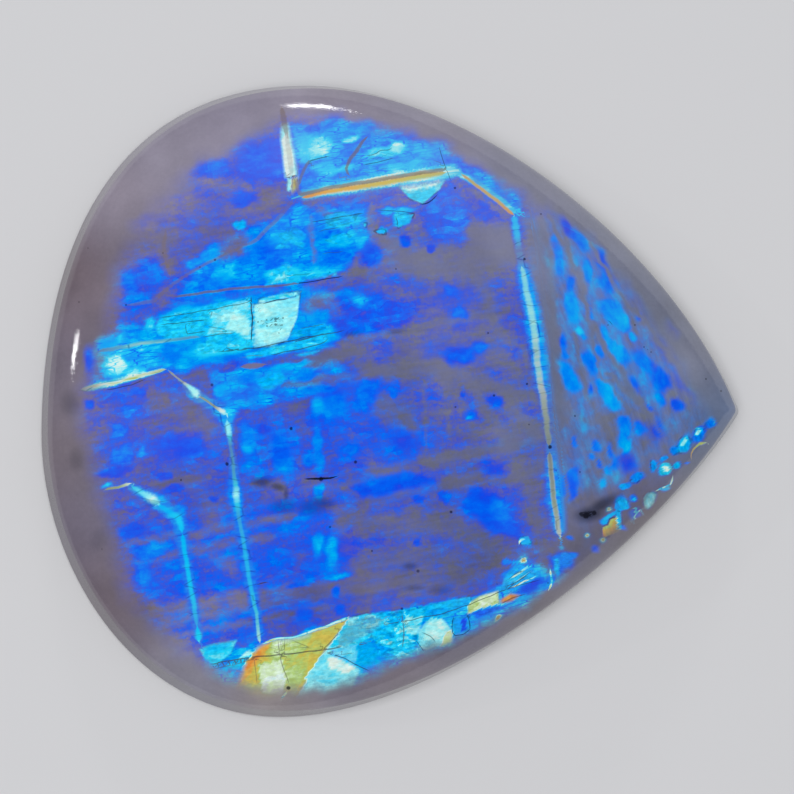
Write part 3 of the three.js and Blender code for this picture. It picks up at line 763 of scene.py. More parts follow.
# The hearts of the veins, given in the same way
cores = {
    "orange": ([302,197.5, 320,193, 345,189, 370,185, 395,181, 430,175, 446,172.5], [0.2, 0.3, 0.36, 0.38,
        0.38, 0.34, 0.2], [0.93, 0.91, 0.89, 0.885, 0.88, 0.868, 0.87], [0.8, 1, 1, 1, 1, 0.9, 0.8]),
    "thin gold": ([461,174, 476,185, 496,200.5, 514,215], [0.14, 0.2, 0.22, 0.22], [0.87, 0.89, 0.89,
        0.92], [0.6, 0.75, 0.75, 0.8]),
    "long upper": ([514,216, 517,236, 519,248], [0.3, 0.3, 0.2], [0.64, 0.64, 0.6], [1, 0.9, 0.3]),
    "long": ([521.5,266, 525,283, 530,306, 534,331, 536.5,352, 539,372, 543,396, 546,420, 549,446], [0.24,
        0.32, 0.38, 0.38, 0.36, 0.34, 0.36, 0.34, 0.28], [0.735, 0.74, 0.745, 0.755, 0.775, 0.765, 0.8,
        0.82, 0.83], [0.75, 0.8, 0.8, 0.75, 0.5, 0.6, 0.35, 0.25, 0.15]),
    "long lower": ([549.5,452, 552,480, 554.5,504, 558,528, 560,537], [0.26, 0.28, 0.28, 0.28, 0.24],
        [0.82, 0.825, 0.825, 0.8, 0.79], [0.12, 0.2, 0.3, 0.45, 0.65]),
    "left thin": ([168,370, 182,382, 190,387, 196,393, 199,398], [0.1, 0.1, 0.3, 0.5, 0.2], [0.82, 0.79,
        0.76, 0.77, 0.7], [0.3, 0.25, 1, 1, 0.8]),
    "left thin middle": ([199,396, 214,406, 220,410, 226,414], [0.12, 0.12, 0.24, 0.44], [0.82, 0.84, 0.78,
        0.76], [0.35, 0.3, 0.8, 1]),
    "beaded": ([227,420, 229,433, 231,446, 234,473, 236,495, 239,516, 245.5,554, 251.5,590, 257.5,620,
        260,643], [0.3, 0.36, 0.16, 0.2, 0.4, 0.22, 0.26, 0.26, 0.2, 0.22], [0.73, 0.75, 0.6, 0.66, 0.76,
        0.62, 0.64, 0.64, 0.72, 0.78], [1, 1, 0.4, 0.5, 1, 0.7, 0.9, 0.9, 0.7, 0.8]),
    "lower left start": ([104,490, 118,487, 131,483], [0.12, 0.16, 0.2], [0.84, 0.84, 0.78], [0.4, 0.5,
        0.9]),
    "lower left chain": ([131,486, 142,493, 152,499, 160,505], [0.2, 0.3, 0.56, 0.3], [0.68, 0.72, 0.77,
        0.7], [0.8, 1, 1, 0.9]),
    "lower left bend": ([158,505, 170,512, 179,520, 182,533], [0.3, 0.34, 0.42, 0.3], [0.62, 0.63, 0.68,
        0.64]),
    "lower left beaded": ([182.5,534, 185,552, 190,584, 194,604, 197,626], [0.28, 0.28, 0.28, 0.3, 0.22],
        [0.62, 0.64, 0.66, 0.66, 0.6], [1, 1, 1, 0.9, 0.8]),
    "lower left foot": ([197,626, 199,642], [0.2, 0.48], [0.64, 0.72]),
    "gold dots": ([692,460, 691,453, 697,445, 702,443, 707,443], [0.08, 0.1, 0.14, 0.24, 0.1], [0.88, 0.9,
        0.84, 0.86, 0.8], [0.4, 0.6, 0.8, 0.9, 0.7]),
    # the pit glint is a painted highlight on a small pit; the pit's painted shade is among the specks
    "pit glint": ([285,685, 287,683.5], [0.12, 0.1], 0.79),
}

# Fine lines without flash: path, half width, darkness, warmth (0 blue-black, 1 tan)
cracks = {
    "orange middle": ([298,195, 325,189, 350,184.2, 390,177.8, 430,171.8, 446,169.8], 0.22, 0.75, 1),
    "upright top": ([281.5,106, 283.5,118, 285.2,128, 287.5,140], [0.2, 0.34, 0.3, 0.1], 0.62, 1),
    "upright core": ([286,134, 289,152, 292,175], [0.2, 0.32, 0.22], 0.24, 1),
    "upright foot": ([294,178, 298,191, 304,193], [0.1, 0.2, 0.2], 0.5, 1),
    "vein foot curl": ([557,537, 560,541, 564,537], [0.1, 0.13, 0.1], 0.5, 1),
    "upright end": ([285.2,177.6, 290,177.4, 298,175.6], [0.06, 0.07, 0.05], 0.75, 0.3),
    "healed": ([293,200, 280,216, 268,228, 257,239, 244,246, 228,253, 214,260, 200,267, 186,276, 166,289,
        154,300, 126,305], [0.3, 0.22, 0.2, 0.2, 0.14, 0.14, 0.16, 0.14, 0.16, 0.2, 0.24, 0.1], 0.42,
        0.85),
    "healed dark": ([244,245, 253,242], [0.06, 0.08], 0.9, 0),
    "healed upright": ([166,229, 164,252, 171,277], [0.12, 0.26, 0.18], 0.4, 1),
    "top branch": ([368,136, 356,151, 346,168, 350,176], [0.1, 0.22, 0.16, 0.1], 0.7, 0.8),
    "left corner branch": ([309,160, 304,170, 299,186], [0.14, 0.18, 0.14], 0.6, 0.8),
    "under the mosaic": ([173,297, 232,289, 299,284], [0.12, 0.14, 0.1], 0.7, 0.7),
    "under the mosaic dark": ([260,287, 300,283, 343,276], [0.05, 0.06, 0.05], 0.85, 0),
    "fish upright": ([251,296, 252,318, 251,342], [0.06, 0.08, 0.06], 0.85, 0.05),
    "fish upper": ([160,318, 207,310, 250,302], [0.05, 0.06, 0.05], 0.6, 0.05),
    "fish lower": ([160,325, 186,322, 206,320], 0.05, 0.7, 0.05),
    "fish step": ([186,322, 187,334, 206,331], 0.05, 0.6, 0.05),
    "fish foot": ([218,352, 254,347.5, 288,341, 328,333], [0.05, 0.06, 0.07, 0.05], 0.75, 0.05),
    "fish foot low": ([203,337, 222,334, 236,332], [0.05, 0.06, 0.05], 0.6, 0.1),
    "lens": ([240,367, 252,366, 266,364], [0.1, 0.34, 0.12], 0.8, 1),
    "triangle foot": ([420,204, 428,203, 438,194], [0.06, 0.08, 0.05], 0.8, 0),
    "triangle side": ([439,146, 444,163, 451,181], [0.04, 0.05, 0.04], 0.6, 0.1),
    "block curve": ([421,632, 430,636, 436,643], [0.04, 0.06, 0.04], 0.6, 0.1),
    "block curve two": ([414,640, 420,645, 424,652], [0.04, 0.05, 0.04], 0.6, 0.1),
    "shard line one": ([503,588, 516,582, 530,572], [0.04, 0.06, 0.04], 0.7, 0.2),
    "shard line two": ([508,580, 518,573, 526,570], [0.04, 0.06, 0.04], 0.6, 0.2),
    "lens line": ([500,604, 512,598, 526,594], [0.04, 0.06, 0.04], 0.7, 0.3),
    "mosaic line": ([311,222, 340,217, 364,213], [0.05, 0.05, 0.04], 0.6, 0.1),
    "mosaic line two": ([318,232, 340,227], [0.04, 0.05], 0.5, 0.1),
    "mosaic line three": ([322,254, 344,251], 0.04, 0.5, 0.1),
    "mosaic line five": ([377,210, 394,211, 416,213], [0.04, 0.05, 0.05], 0.6, 0.1),
    "mosaic line six": ([395.7,216, 398,227], [0.05, 0.04], 0.7, 0.1),
    "fish head's line": ([262,304, 276,300, 290,298], [0.05, 0.07, 0.05], 0.8, 0.1),
    "fish step line": ([271,355, 300,349, 322,343, 328,338], [0.05, 0.06, 0.05, 0.04], 0.7, 0.1),
    "fish step line two": ([292,343, 318,336, 345,330], [0.04, 0.06, 0.04], 0.7, 0.1),
    "fish step line three": ([300,329, 325,324], [0.04, 0.05], 0.6, 0.1),
    "fish fold": ([210,319, 214,308], 0.05, 0.5, 0.1),
    "fish crease": ([207,326, 222,329, 232,333], [0.04, 0.06, 0.04], 0.5, 0.2),
    "fish foot step": ([224,347, 235,350, 250,348], 0.05, 0.6, 0.1),
    "stairs one": ([366,156, 378,153, 380,150, 389,150, 392,147], 0.05, 0.6, 0.1),
    "stairs two": ([363,165, 378,162, 394,158], 0.05, 0.6, 0.1),
    "patch foot": ([306,166, 312,160, 330,156], [0.06, 0.06, 0.05], 0.7, 0.1),
    "black thread": ([304,479, 321,479, 338,476], [0.06, 0.14, 0.05], 1, 0),
    "dash below": ([256,585, 268,582], [0.04, 0.07], 0.9, 0.2),
    "yellow crossing": ([210,664, 250,658, 322,650, 367,643], [0.06, 0.08, 0.08, 0.05], 0.75, 0.25),
    "yellow crossing low": ([214,669, 256,659], [0.05, 0.06], 0.6, 0.4),
    "yellow upright": ([278,640, 281,662, 289,684], [0.05, 0.06, 0.05], 0.6, 0.5),
    "yellow upright two": ([285,638, 284,656], [0.04, 0.05], 0.6, 0.4),
    "yellow upright three": ([254,656, 257,684], 0.05, 0.5, 0.5),
    "yellow slope": ([292,640, 316,650, 336,652], [0.04, 0.05, 0.04], 0.5, 0.4),
    "lens side": ([324,652, 345,659, 370,671], [0.05, 0.06, 0.05], 0.7, 0.1),
    "wedge side": ([347,619, 336,636, 322,650], [0.04, 0.06, 0.06], 0.6, 0.1),
    "band thread": ([378,626, 420,618, 456,609, 505,590, 540,580], [0.04, 0.06, 0.05, 0.05, 0.04], 0.7,
        0.1),
    "band upright": ([402,613, 404,634, 402,648], [0.06, 0.08, 0.05], 0.6, 0.3),
    "box side": ([454,616, 452,628, 456,636, 470,630, 467,614], 0.05, 0.7, 0),
    "left foot": ([106,390, 124,387, 146,379], [0.06, 0.07, 0.05], 0.6, 0.1),
    "aqua shade": ([338,646, 352,633, 368,624, 382,620], [0.4, 1, 0.9, 0.4], 0.34, 0.9),
    "drop crack": ([607,320, 613,326], 0.05, 0.5, 0),
}

# Dark specks: place, width in mm, darkness
specks = [
    (227, 464, 0.37, 0.81), (291, 428.5, 0.34, 0.81), (321, 479, 0.45, 0.85), (355.5, 462, 0.33, 0.77),
    (212, 385, 0.3, 0.68), (524.5, 259, 0.28, 0.77), (550, 447, 0.41, 0.85), (451, 512, 0.3, 0.77),
    (494, 395.5, 0.26, 0.68), (527, 384, 0.26, 0.68), (488, 333, 0.21, 0.59), (455.5, 407, 0.21, 0.59),
    (372, 551, 0.21, 0.68), (529, 424.5, 0.18, 0.51), (330, 527, 0.25, 0.68), (418, 571, 0.33, 0.59),
    (181, 480, 0.2, 0.68), (215, 260, 0.21, 0.68), (126, 305, 0.21, 0.59), (200, 267, 0.16, 0.59),
    (163, 253, 0.16, 0.51), (88, 248, 0.16, 0.42), (79, 302, 0.18, 0.51), (455, 188, 0.25, 0.68),
    (586, 515, 0.74, 0.85), (594, 513, 0.49, 0.77), (581, 514, 0.41, 0.77), (548, 583, 0.16, 0.51),
    (644, 347, 0.18, 0.51), (651, 352, 0.18, 0.51), (706, 379, 0.18, 0.59), (721, 391, 0.21, 0.59),
    (575, 416, 0.23, 0.59), (541, 214, 0.2, 0.51), (608, 325, 0.16, 0.51), (635, 325, 0.21, 0.51),
    (396, 269, 0.18, 0.59), (402, 609, 0.28, 0.68), (580, 472, 0.21, 0.51), (266.6, 320, 0.21, 0.59),
    (275.6, 319, 0.34, 0.68), (283, 318, 0.2, 0.59), (275.6, 324.5, 0.28, 0.68), (258, 322, 0.2, 0.51),
    (267, 326, 0.18, 0.6), (282, 325, 0.18, 0.6), (279, 333, 0.16, 0.5), (102, 549, 0.15, 0.42),
    # the speck at (288.5, 688) is a small pit's painted shade; its painted highlight is the pit glint among
    # the cores
    (288.5, 688, 0.41, 0.85), (497, 584, 0.16, 0.42), (218, 404, 0.11, 0.59),
]

# Milky haze over the flash: path, half width in mm, strength
haze = {
    "from the corner": ([300,200, 370,232, 400,244], [0.2, 0.6, 0.6], 0.35),
    "upper shelf": ([380,240, 420,258, 470,262, 516,256], [0.8, 1.4, 1.6, 1.4], 0.85),
    "quiet corner": ([470,232, 512,236], [0.9, 1], 0.7),
    "shelf to the middle": ([350,272, 400,268, 448,272], [0.3, 0.6, 0.8], 0.75),
    "healed grey": ([220,254, 234,246, 250,239], [0.7, 1, 0.7], 0.75),
    "mosaic gap": ([310,214, 312,230, 313,245, 316,264], [0.2, 0.25, 0.25, 0.3], 0.45),
    "mosaic gap two": ([371,202, 371,222, 374,238, 382,252], [0.4, 0.4, 0.4, 0.5], 0.7),
    "hollow": ([304,308, 322,307, 336,304], [0.7, 1.2, 0.6], 0.55),
    "middle grey": ([376,402, 398,412, 412,426, 408,440], [0.8, 1.3, 0.8, 0.5], 0.9),
    "over the band": ([396,594, 430,590, 470,580], [0.4, 0.7, 0.6], 0.6),
    "by the thin vein": ([208,552, 222,560, 238,566], [0.6, 0.9, 0.6], 0.5),
    "right grey": ([474,330, 500,352, 520,384], [0.7, 1, 1], 0.5),
    "lower right grey": ([500,476, 526,482, 545,490], [0.6, 0.8, 0.7], 0.55),
    "upper left gap": ([146,186, 180,190, 214,184, 252,186], [0.8, 0.7, 0.4, 0.3], 0.6),
    "upper left gap two": ([120,232, 150,240, 176,238], [1, 1.2, 0.8], 0.7),
    "upper left gap three": ([164,226, 165,252, 172,276], [0.4, 0.6, 0.4], 0.7),
    "upper left gap four": ([240,208, 270,200, 290,196], [0.7, 0.6, 0.4], 0.5),
    "low right": ([536,556, 548,570, 552,584], [0.6, 0.5, 0.4], 0.6),
    "shelf edge": ([340,274, 380,264, 407,257, 450,250, 507,252], [0.2, 0.3, 0.3, 0.3, 0.3], 0.7),
    "middle shelf": ([338,341, 372,337, 407,332, 445,322, 478,316, 497,320], [0.3, 0.5, 0.45, 0.45, 0.5,
        0.4], 0.85),
    "root": ([520,346, 534,370, 545,388], [0.4, 0.4, 0.5], 0.7),
    "column": ([424,378, 426,420, 424,456], [0.2, 0.2, 0.15], 0.45),
    "column two": ([446,380, 449,412, 448,440], [0.3, 0.2, 0.15], 0.5),
    "branch down": ([462,264, 482,284, 492,312, 500,334, 520,346], [0.9, 0.8, 0.6, 0.5, 0.4], 0.8),
    "left grey": ([296,366, 320,358, 345,352, 368,350], [0.5, 0.8, 0.8, 0.5], 0.8),
    "violet hollow": ([310,300, 336,296], [0.8, 0.5], 0.6),
    "long branch": ([352,362, 390,372, 430,368, 454,374, 500,388, 540,398], [0.5, 0.9, 1, 0.9, 0.8, 0.6],
        0.9),
    "branch one": ([440,372, 458,396, 470,420, 478,440], [0.9, 0.5, 0.4, 0.3], 0.75),
    "branch two": ([474,380, 484,404, 500,430, 516,444], [0.5, 0.5, 0.8, 0.9], 0.8),
    "branch three": ([500,392, 520,416, 540,436], [0.6, 1, 1.1], 0.85),
    "grey strip": ([430,462, 470,452, 540,430], [0.5, 0.8, 1.1], 0.65),
    "grey strip two": ([440,484, 500,472, 545,466], [0.4, 0.8, 1], 0.75),
    "by the long vein": ([526,486, 534,510, 540,536], [0.6, 0.7, 0.6], 0.8),
    "lower grey": ([334,520, 354,516, 390,524, 440,524, 462,530, 496,548], [1, 1.2, 1.2, 1.2, 1.1, 0.8],
        0.8),
    "lower grey two": ([352,566, 400,558, 440,556, 500,560, 530,552], [0.8, 1.3, 1.3, 1, 0.8], 0.75),
    "lower grey three": ([350,590, 420,580, 480,574], [0.5, 1, 0.8], 0.7),
    "over the vein": ([519,248, 522,262], 0.5, 0.85),
    "beside the vein": ([540,230, 546,300, 556,370, 566,420], [0.8, 0.7, 0.5, 0.6], 0.7),
    "dull lower right": ([566,510, 596,492, 616,478], [1.2, 1, 0.6], 0.6),
    "dull knot": ([536,548, 556,548, 580,536], [0.9, 0.9, 1.2], 0.9),
    "left field grey": ([150,400, 190,410, 210,430], [0.9, 1.2, 0.8], 0.7),
    "left field grey two": ([160,470, 200,490, 215,520], [0.6, 0.9, 1], 0.55),
    "smudge": ([252,482, 272,486, 287,490], [0.5, 0.6, 0.5], 0.6),
    "band one": ([148,483, 181,480, 214,478], [0.26, 0.31, 0.26], 0.6),
    "band two": ([123,544, 182,535, 236,526, 300,514], [0.31, 0.46, 0.52, 0.36], 0.6),
    "band three": ([134,560, 181,552, 244,541, 276,536], [0.26, 0.52, 0.41, 0.26], 0.6),
    "band four": ([147,613, 233,598, 314,588, 400,572], [0.5, 0.6, 0.5, 0.31], 0.75),
    "band five": ([160,622, 260,604, 340,592, 420,580], [0.5, 0.6, 0.41, 0.31], 0.7),
    "band six": ([180,634, 262,618, 330,607], [0.26, 0.36, 0.26], 0.6),
    "band seven": ([156,433, 190,428, 222,424], [0.26, 0.31, 0.26], 0.6),
    "band eight": ([338,487, 396,468, 470,453, 540,444], [0.41, 0.52, 0.46, 0.36], 0.6),
    "band nine": ([362,504, 430,489, 512,476, 548,470], [0.41, 0.52, 0.46, 0.36], 0.6),
    "band ten": ([280,364, 330,356, 363,350], [0.36, 0.52, 0.36], 0.6),
    "band eleven": ([282,386, 340,378, 400,370], [0.26, 0.41, 0.52], 0.6),
}

# Bluish or black shadows inside the stone: place, length and width in mm, lean, darkness
shadows = [
    (262, 482, 2, 1, 0, 0.55), (278, 487, 1.6, 0.7, -20, 0.55), (286, 494, 0.5, 1.6, 0, 0.5),
    (314, 506, 3.2, 1.6, 10, 0.4), (322, 503, 2.4, 1.2, -10, 0.5), (284, 506, 2.6, 1.6, 0, 0.35),
    (70, 404, 1.8, 2.4, 0, 0.3), (76, 460, 1.4, 2, 0, 0.25), (98, 540, 1.6, 2.2, -20, 0.18),
    (602, 505, 3.6, 1.2, 30, 0.7), (590, 514, 2.8, 1.4, 10, 0.75), (410, 566, 1.4, 0.7, 0, 0.45),
    (352, 334, 1.8, 0.4, 8, 0.4), (396, 332, 1.6, 0.4, 6, 0.35), (415, 588, 2, 0.5, 0, 0.35),
    (440, 590, 2.4, 0.8, 0, 0.3),
]

# Tones of the milky body: place and colour
milk = [
    (330, 92, 150, 143, 157), (160, 150, 147, 141, 156), (120, 190, 144, 136, 149),
    # the warm tone at (72, 270) is partly a painted reflection of a finger seen through the rim
    (72, 270, 119, 106, 114), (56, 450, 121, 112, 121), (110, 600, 119, 108, 118),
    (200, 685, 138, 136, 150), (270, 703, 156, 148, 150), (400, 690, 128, 120, 130),
    (540, 622, 116, 110, 120), (650, 522, 112, 105, 114), (725, 415, 113, 128, 160),
    (690, 350, 132, 136, 156), (620, 240, 127, 131, 150), (540, 160, 132, 134, 152),
    (440, 110, 140, 136, 150), (200, 240, 112, 108, 134), (300, 400, 96, 100, 134),
    (440, 260, 114, 117, 142), (440, 372, 119, 121, 144), (400, 415, 100, 104, 128),
    (470, 540, 96, 101, 130), (300, 610, 98, 98, 138), (180, 500, 106, 104, 138),
    (560, 400, 108, 114, 138), (640, 380, 108, 118, 140),
]

# Pale streams of milk between the drops: path, half width in mm, strength
streams = {
    "by the vein": ([543,214, 552,280, 556,360, 562,430], [0.3, 0.4, 0.4, 0.3], 0.7),
    "from the edge": ([548,212, 572,262, 596,330, 622,372, 650,420], [0.2, 0.2, 0.2, 0.25, 0.2], 0.7),
    "middle": ([566,236, 584,290, 600,368, 630,410], [0.15, 0.2, 0.15, 0.2], 0.65),
    "outer": ([590,240, 622,296, 660,340, 690,388], [0.2, 0.2, 0.2, 0.15], 0.7),
    "outermost": ([604,250, 648,296, 684,362], [0.3, 0.35, 0.3], 0.6),
    "lower": ([575,330, 588,396, 612,440], [0.15, 0.2, 0.15], 0.65),
    "long lower": ([606,370, 640,404, 664,436], [0.2, 0.25, 0.2], 0.7),
    "crossing": ([560,400, 590,420, 630,410], [0.2, 0.3, 0.2], 0.5),
}

# A pale veil of scattered light over the flash: place and strength
veil = [
    (258, 150, 0.1), (292, 150, 0.2), (330, 130, 0.1), (360, 165, 0.1), (405, 165, 0.12), (440, 160, 0.16),
    (500, 190, 0.1), (190, 200, 0.1), (300, 208, 0.04), (240, 240, 0), (400, 240, 0.02), (330, 250, 0),
    (110, 400, 0.05), (150, 415, 0.07), (180, 330, 0), (300, 320, 0), (250, 540, 0), (330, 560, 0),
    (400, 430, 0), (560, 360, 0.02), (620, 300, 0.04), (500, 600, 0.06), (550, 560, 0.06), (300, 650, 0),
    (660, 430, 0.02), (440, 540, 0), (130, 600, 0.04),
]


# Reading the drawn features at every point of the stone

def pairs(path):
    # places written one after another, as (right, down)
    return list(zip(path[::2], path[1::2]))


def drift(spots, amount, size, seed):
    # smooth random values up to this amount either way, which change over cells of this size
    table = np.random.default_rng(seed).uniform(-1, 1, (64, 64))
    cell = np.floor(spots / size).astype(int)
    part = fade(spots / size - cell, 0, 1)
    right, down = cell[:, 0], cell[:, 1]
    upper, lower = (
        table[right % 64, row % 64] * (1 - part[:, 0]) + table[(right + 1) % 64, row % 64] * part[:, 0]
        for row in (down, down + 1)
    )
    return amount * (upper * (1 - part[:, 1]) + lower * part[:, 1])


def leaning(offsets, degrees):
    # offsets in the photo, measured along and across a direction that rises to the right
    angle = math.radians(degrees)
    ahead = offsets[:, 0] * math.cos(angle) - offsets[:, 1] * math.sin(angle)
    across = offsets[:, 0] * math.sin(angle) + offsets[:, 1] * math.cos(angle)
    return ahead, across


def nearestOn(spots, start, end):
    # share of the way along a segment, and the distance to it in mm with its side as the sign
    start, step = np.array(start, float), np.subtract(end, start).astype(float)
    offset = spots - start
    share = np.clip(offset @ step / max(step @ step, 1e-9), 0, 1)
    away = offset - share[:, None] * step
    side = np.where(step[0] * offset[:, 1] - step[1] * offset[:, 0] < 0, -1, 1)
    return share, side * np.hypot(away[:, 0], away[:, 1]) / pixelsPerMm


def depthInside(spots, outline):
    # distance to the outline of a drawn area in mm, positive inside it
    corners = pairs(outline)
    inside = np.zeros(len(spots), bool)
    nearest = np.full(len(spots), 1e9)
    for (x0, y0), (x1, y1) in zip(corners, corners[1:] + corners[:1]):
        nearest = np.minimum(nearest, np.abs(nearestOn(spots, (x0, y0), (x1, y1))[1]))
        spans = (y0 > spots[:, 1]) != (y1 > spots[:, 1])
        crossing = x0 + (spots[:, 1] - y0) * (x1 - x0) / (y1 - y0 if y1 != y0 else 1e-9)
        inside ^= spans & (spots[:, 0] < crossing)
    return np.where(inside, nearest, -nearest)


def wander(path, amounts, wobble, rng):
    # a drawn path as a curve through its points, a little uneven, with its amounts along it
    ends = [path[0]] + path + [path[-1]]
    points, carried = [], []
    for i in range(len(path) - 1):
        before, start, end, after = (np.array(p, float) for p in ends[i:i + 4])
        steps = max(2, int(np.hypot(*(end - start)) / flash["pathStep"]))
        for t in np.arange(steps) / steps:
            curve = 2 * start + (end - before) * t + (2 * before - 5 * start + 4 * end - after) * t ** 2
            curve = curve + (3 * start - before - 3 * end + after) * t ** 3
            points.append(curve / 2)
            carried.append([a[i] * (1 - t) + a[i + 1] * t for a in amounts])
    points.append(np.array(path[-1], float))
    carried.append([a[-1] for a in amounts])
    points, carried = np.array(points), np.array(carried)
    points[1:-1] += rng.normal(0, wobble * pixelsPerMm, (len(points) - 2, 2))
    return points, carried


def nearestPath(spots, paths, wobble, seed):
    # for each spot: side and distance of the nearest path in mm, and that path's amounts there.
    # An amount is one number, or one for each point of the path, and the first is its half width.
    # Paths taper off over their last bit, and away from them their half width is nothing.
    rng = np.random.default_rng(seed)
    away = np.full(len(spots), farAway)
    found = np.zeros((len(spots), len(paths[0]) - 1))
    edgeBy = np.full(len(spots), farAway)
    for path, *amounts in paths:
        path = pairs(path)
        amounts = [a if isinstance(a, list) else [a] * len(path) for a in amounts]
        points, carried = wander(path, amounts, wobble, rng)
        run = np.concatenate([[0], np.cumsum(np.hypot(*np.diff(points, axis=0).T))]) / pixelsPerMm
        low, high = points.min(0) - flash["pathReach"], points.max(0) + flash["pathReach"]
        here = np.flatnonzero(np.all((spots > low) & (spots < high), axis=1))
        for i in range(len(points) - 1):
            share, distance = nearestOn(spots[here], points[i], points[i + 1])
            carry = carried[i] + share[:, None] * (carried[i + 1] - carried[i])
            passed = run[i] + share * (run[i + 1] - run[i])
            carry[:, 0] *= np.clip(np.minimum(passed, run[-1] - passed) / flash["taper"], 0, 1)
            by = np.abs(distance) - carry[:, 0]
            closer = by < edgeBy[here]
            chosen = here[closer]
            edgeBy[chosen] = by[closer]
            away[chosen] = distance[closer]
            found[chosen] = carry[closer]
    found[:, 0] = np.where(edgeBy < 0.5, found[:, 0], 0)
    return np.clip(away, -2, 2), found


def underPath(spots, path, halfWidths, wobble, seed, inner, outer):
    # how much of a soft path lies over each place, from 0 to 1
    away, found = nearestPath(spots, [(path, halfWidths)], wobble, seed)
    return 1 - fade(np.abs(away) / np.maximum(found[:, 0], 1e-6), inner, outer)


def layFlash(spots):
    # the flash's order, how much of it shows through the milk, and how blocky it is
    warped = spots + np.stack([drift(spots, *warp) for warp in flash["warp"]], 1)
    order = flash["fieldOrder"] + drift(spots, *flash["orderDrift"])
    shown = flash["fieldCover"] + drift(spots, *flash["coverDrift"])
    grit = np.full(len(spots), flash["fieldGrit"])
    for corners, level, cover, soft, rough in areas.values():
        part = fade(depthInside(warped, corners), -soft, soft)
        order += (level - order) * part
        shown += (cover - shown) * part
        grit += (rough - grit) * part
    softness = np.interp(warped[:, 0], flash["edgeSoftFrom"], flash["edgeSoft"])
    depth = depthInside(warped, flash["edge"]) + drift(spots, *flash["edgeDrift"])
    shown *= fade(depth / softness, -0.3, 1)
    for path, halfWidths, strength in haze.values():
        shown *= 1 - flash["hazeCover"] * strength * underPath(warped, path, halfWidths, *flash["hazeRun"])
    for x, y, length, width, lean, level, soft, *most in sum(patches.values(), []):
        reach = (length + width) * pixelsPerMm
        here = np.flatnonzero(np.hypot(*(spots - (x, y)).T) < reach)
        ahead, across = leaning(warped[here] - (x, y), lean)
        ahead, across = ahead / (length * pixelsPerMm / 2), across / (width * pixelsPerMm / 2)
        power = flash["patchSquareness"]
        out = (np.abs(ahead) ** power + np.abs(across) ** power) ** (1 / power)
        part = 1 - fade(out, 1 - soft, 1 + 0.5 * soft)
        order[here] += (level - order[here]) * part
        cover = most[0] if most else min(1, 0.5 + 1.1 * level)
        shown[here] += np.maximum(cover - shown[here], 0) * part
        grit[here] += (0.5 * grit[here] - grit[here]) * part
    for path, halfWidths, strength in streams.values():
        shown *= 1 - strength * underPath(warped, path, halfWidths, *flash["streamRun"])
    return order, shown, grit


def layPanes(spots):
    # of the pane that a place lies deepest in: its order, the depth in mm, its softness, its blockiness
    found = np.tile((0.5, -farAway, 0.1, 0.0), (len(spots), 1))
    for corners, level, soft, rough in panes.values():
        depth = depthInside(spots, corners)
        lies = np.where(found[:, 1] < 0, depth > found[:, 1], depth > 0)
        deepest = np.maximum(found[lies, 1], depth[lies])
        found[lies] = np.tile((level, 0, soft, rough), (lies.sum(), 1))
        found[lies, 1] = deepest
    found[:, 1] = np.clip(found[:, 1], -2, 2)
    return found


def blended(spots, given):
    # values given at a few places, blended between them
    reach = flash["blendReach"]
    weights = np.stack([1 / (np.hypot(*(spots - place).T) + reach) ** 3 for place, _ in given], 1)
    return weights @ np.array([value for _, value in given], float) / weights.sum(1)[..., None]


def layMilk(spots):
    # the milky body's tone, and the shadows inside it
    tone = blended(spots, [((x, y), linear(*tone)) for x, y, *tone in milk])
    dark = np.zeros(len(spots))
    for x, y, length, width, lean, strength in shadows:
        ahead, across = leaning(spots - (x, y), lean)
        out = np.hypot(ahead / (length * pixelsPerMm / 2), across / (width * pixelsPerMm / 2))
        dark = np.maximum(dark, strength * (1 - fade(out, 0.2, 1.3)))
    return np.column_stack([tone, dark])


def laySpecks(spots):
    # the way from the nearest speck in mm, its half width and its darkness
    found = np.zeros((len(spots), 4))
    found[:, :2] = farAway
    for x, y, width, strength in specks:
        offset = (spots - (x, y)) / pixelsPerMm
        near = np.hypot(*offset.T) < np.minimum(np.hypot(*found[:, :2].T), width / 2 + 0.45)
        found[near] = np.column_stack([offset[near], np.full((near.sum(), 2), (width / 2, strength))])
    return found


def paint(body, camera):
    mesh = body.data
    points, ring = pointsAndRings(mesh)
    dome = ring <= stone["domeRings"]
    spots = placesInPhoto(points.astype(float), camera)
    order, shown, grit = layFlash(spots)
    shown[~dome] = 0
    veiled = blended(spots, [((x, y), [strength]) for x, y, strength in veil])
    values = {
        "flash": np.column_stack([order, shown, grit]),
        "pane": layPanes(spots),
        "ground": layMilk(spots),
        "speck": laySpecks(spots),
        "veil": np.maximum(veiled - flash["veilOff"], 0),
        "steep": fade(depthInside(spots, flash["steepZone"]), -0.15, 0.15)[:, None],
        "clear": fade(depthInside(spots, flash["edge"]), *flash["paneFade"])[:, None],
    }
    values["pane"][~dome, 1] = -2
    # painted shade: the wall's milk is darkened against the light it catches from below
    values["ground"][~dome, :3] *= flash["paintedWallShade"]
    layers = {
        "halo": [(*vein, 1)[:4] for vein in veins.values()],
        "core": [(*core, 1)[:4] for core in cores.values()],
        "crack": list(cracks.values()),
    }
    for seed, (name, paths) in enumerate(layers.items()):
        away, found = nearestPath(spots, paths, flash["wobble"], seed + 10)
        found[~dome, 0] = 0
        values[name] = np.column_stack([away, found])
    kinds = {1: ("FLOAT", "value"), 3: ("FLOAT_VECTOR", "vector"), 4: ("FLOAT_COLOR", "color")}
    for name, value in values.items():
        kind, field = kinds[value.shape[1]]
        attribute = mesh.attributes.new(name, kind, "POINT")
        attribute.data.foreach_set(field, np.ascontiguousarray(value, np.float32).ravel())
    print("painted:", ", ".join(values))


# The finish: milky crystal with flash layers inside it, under a polished skin

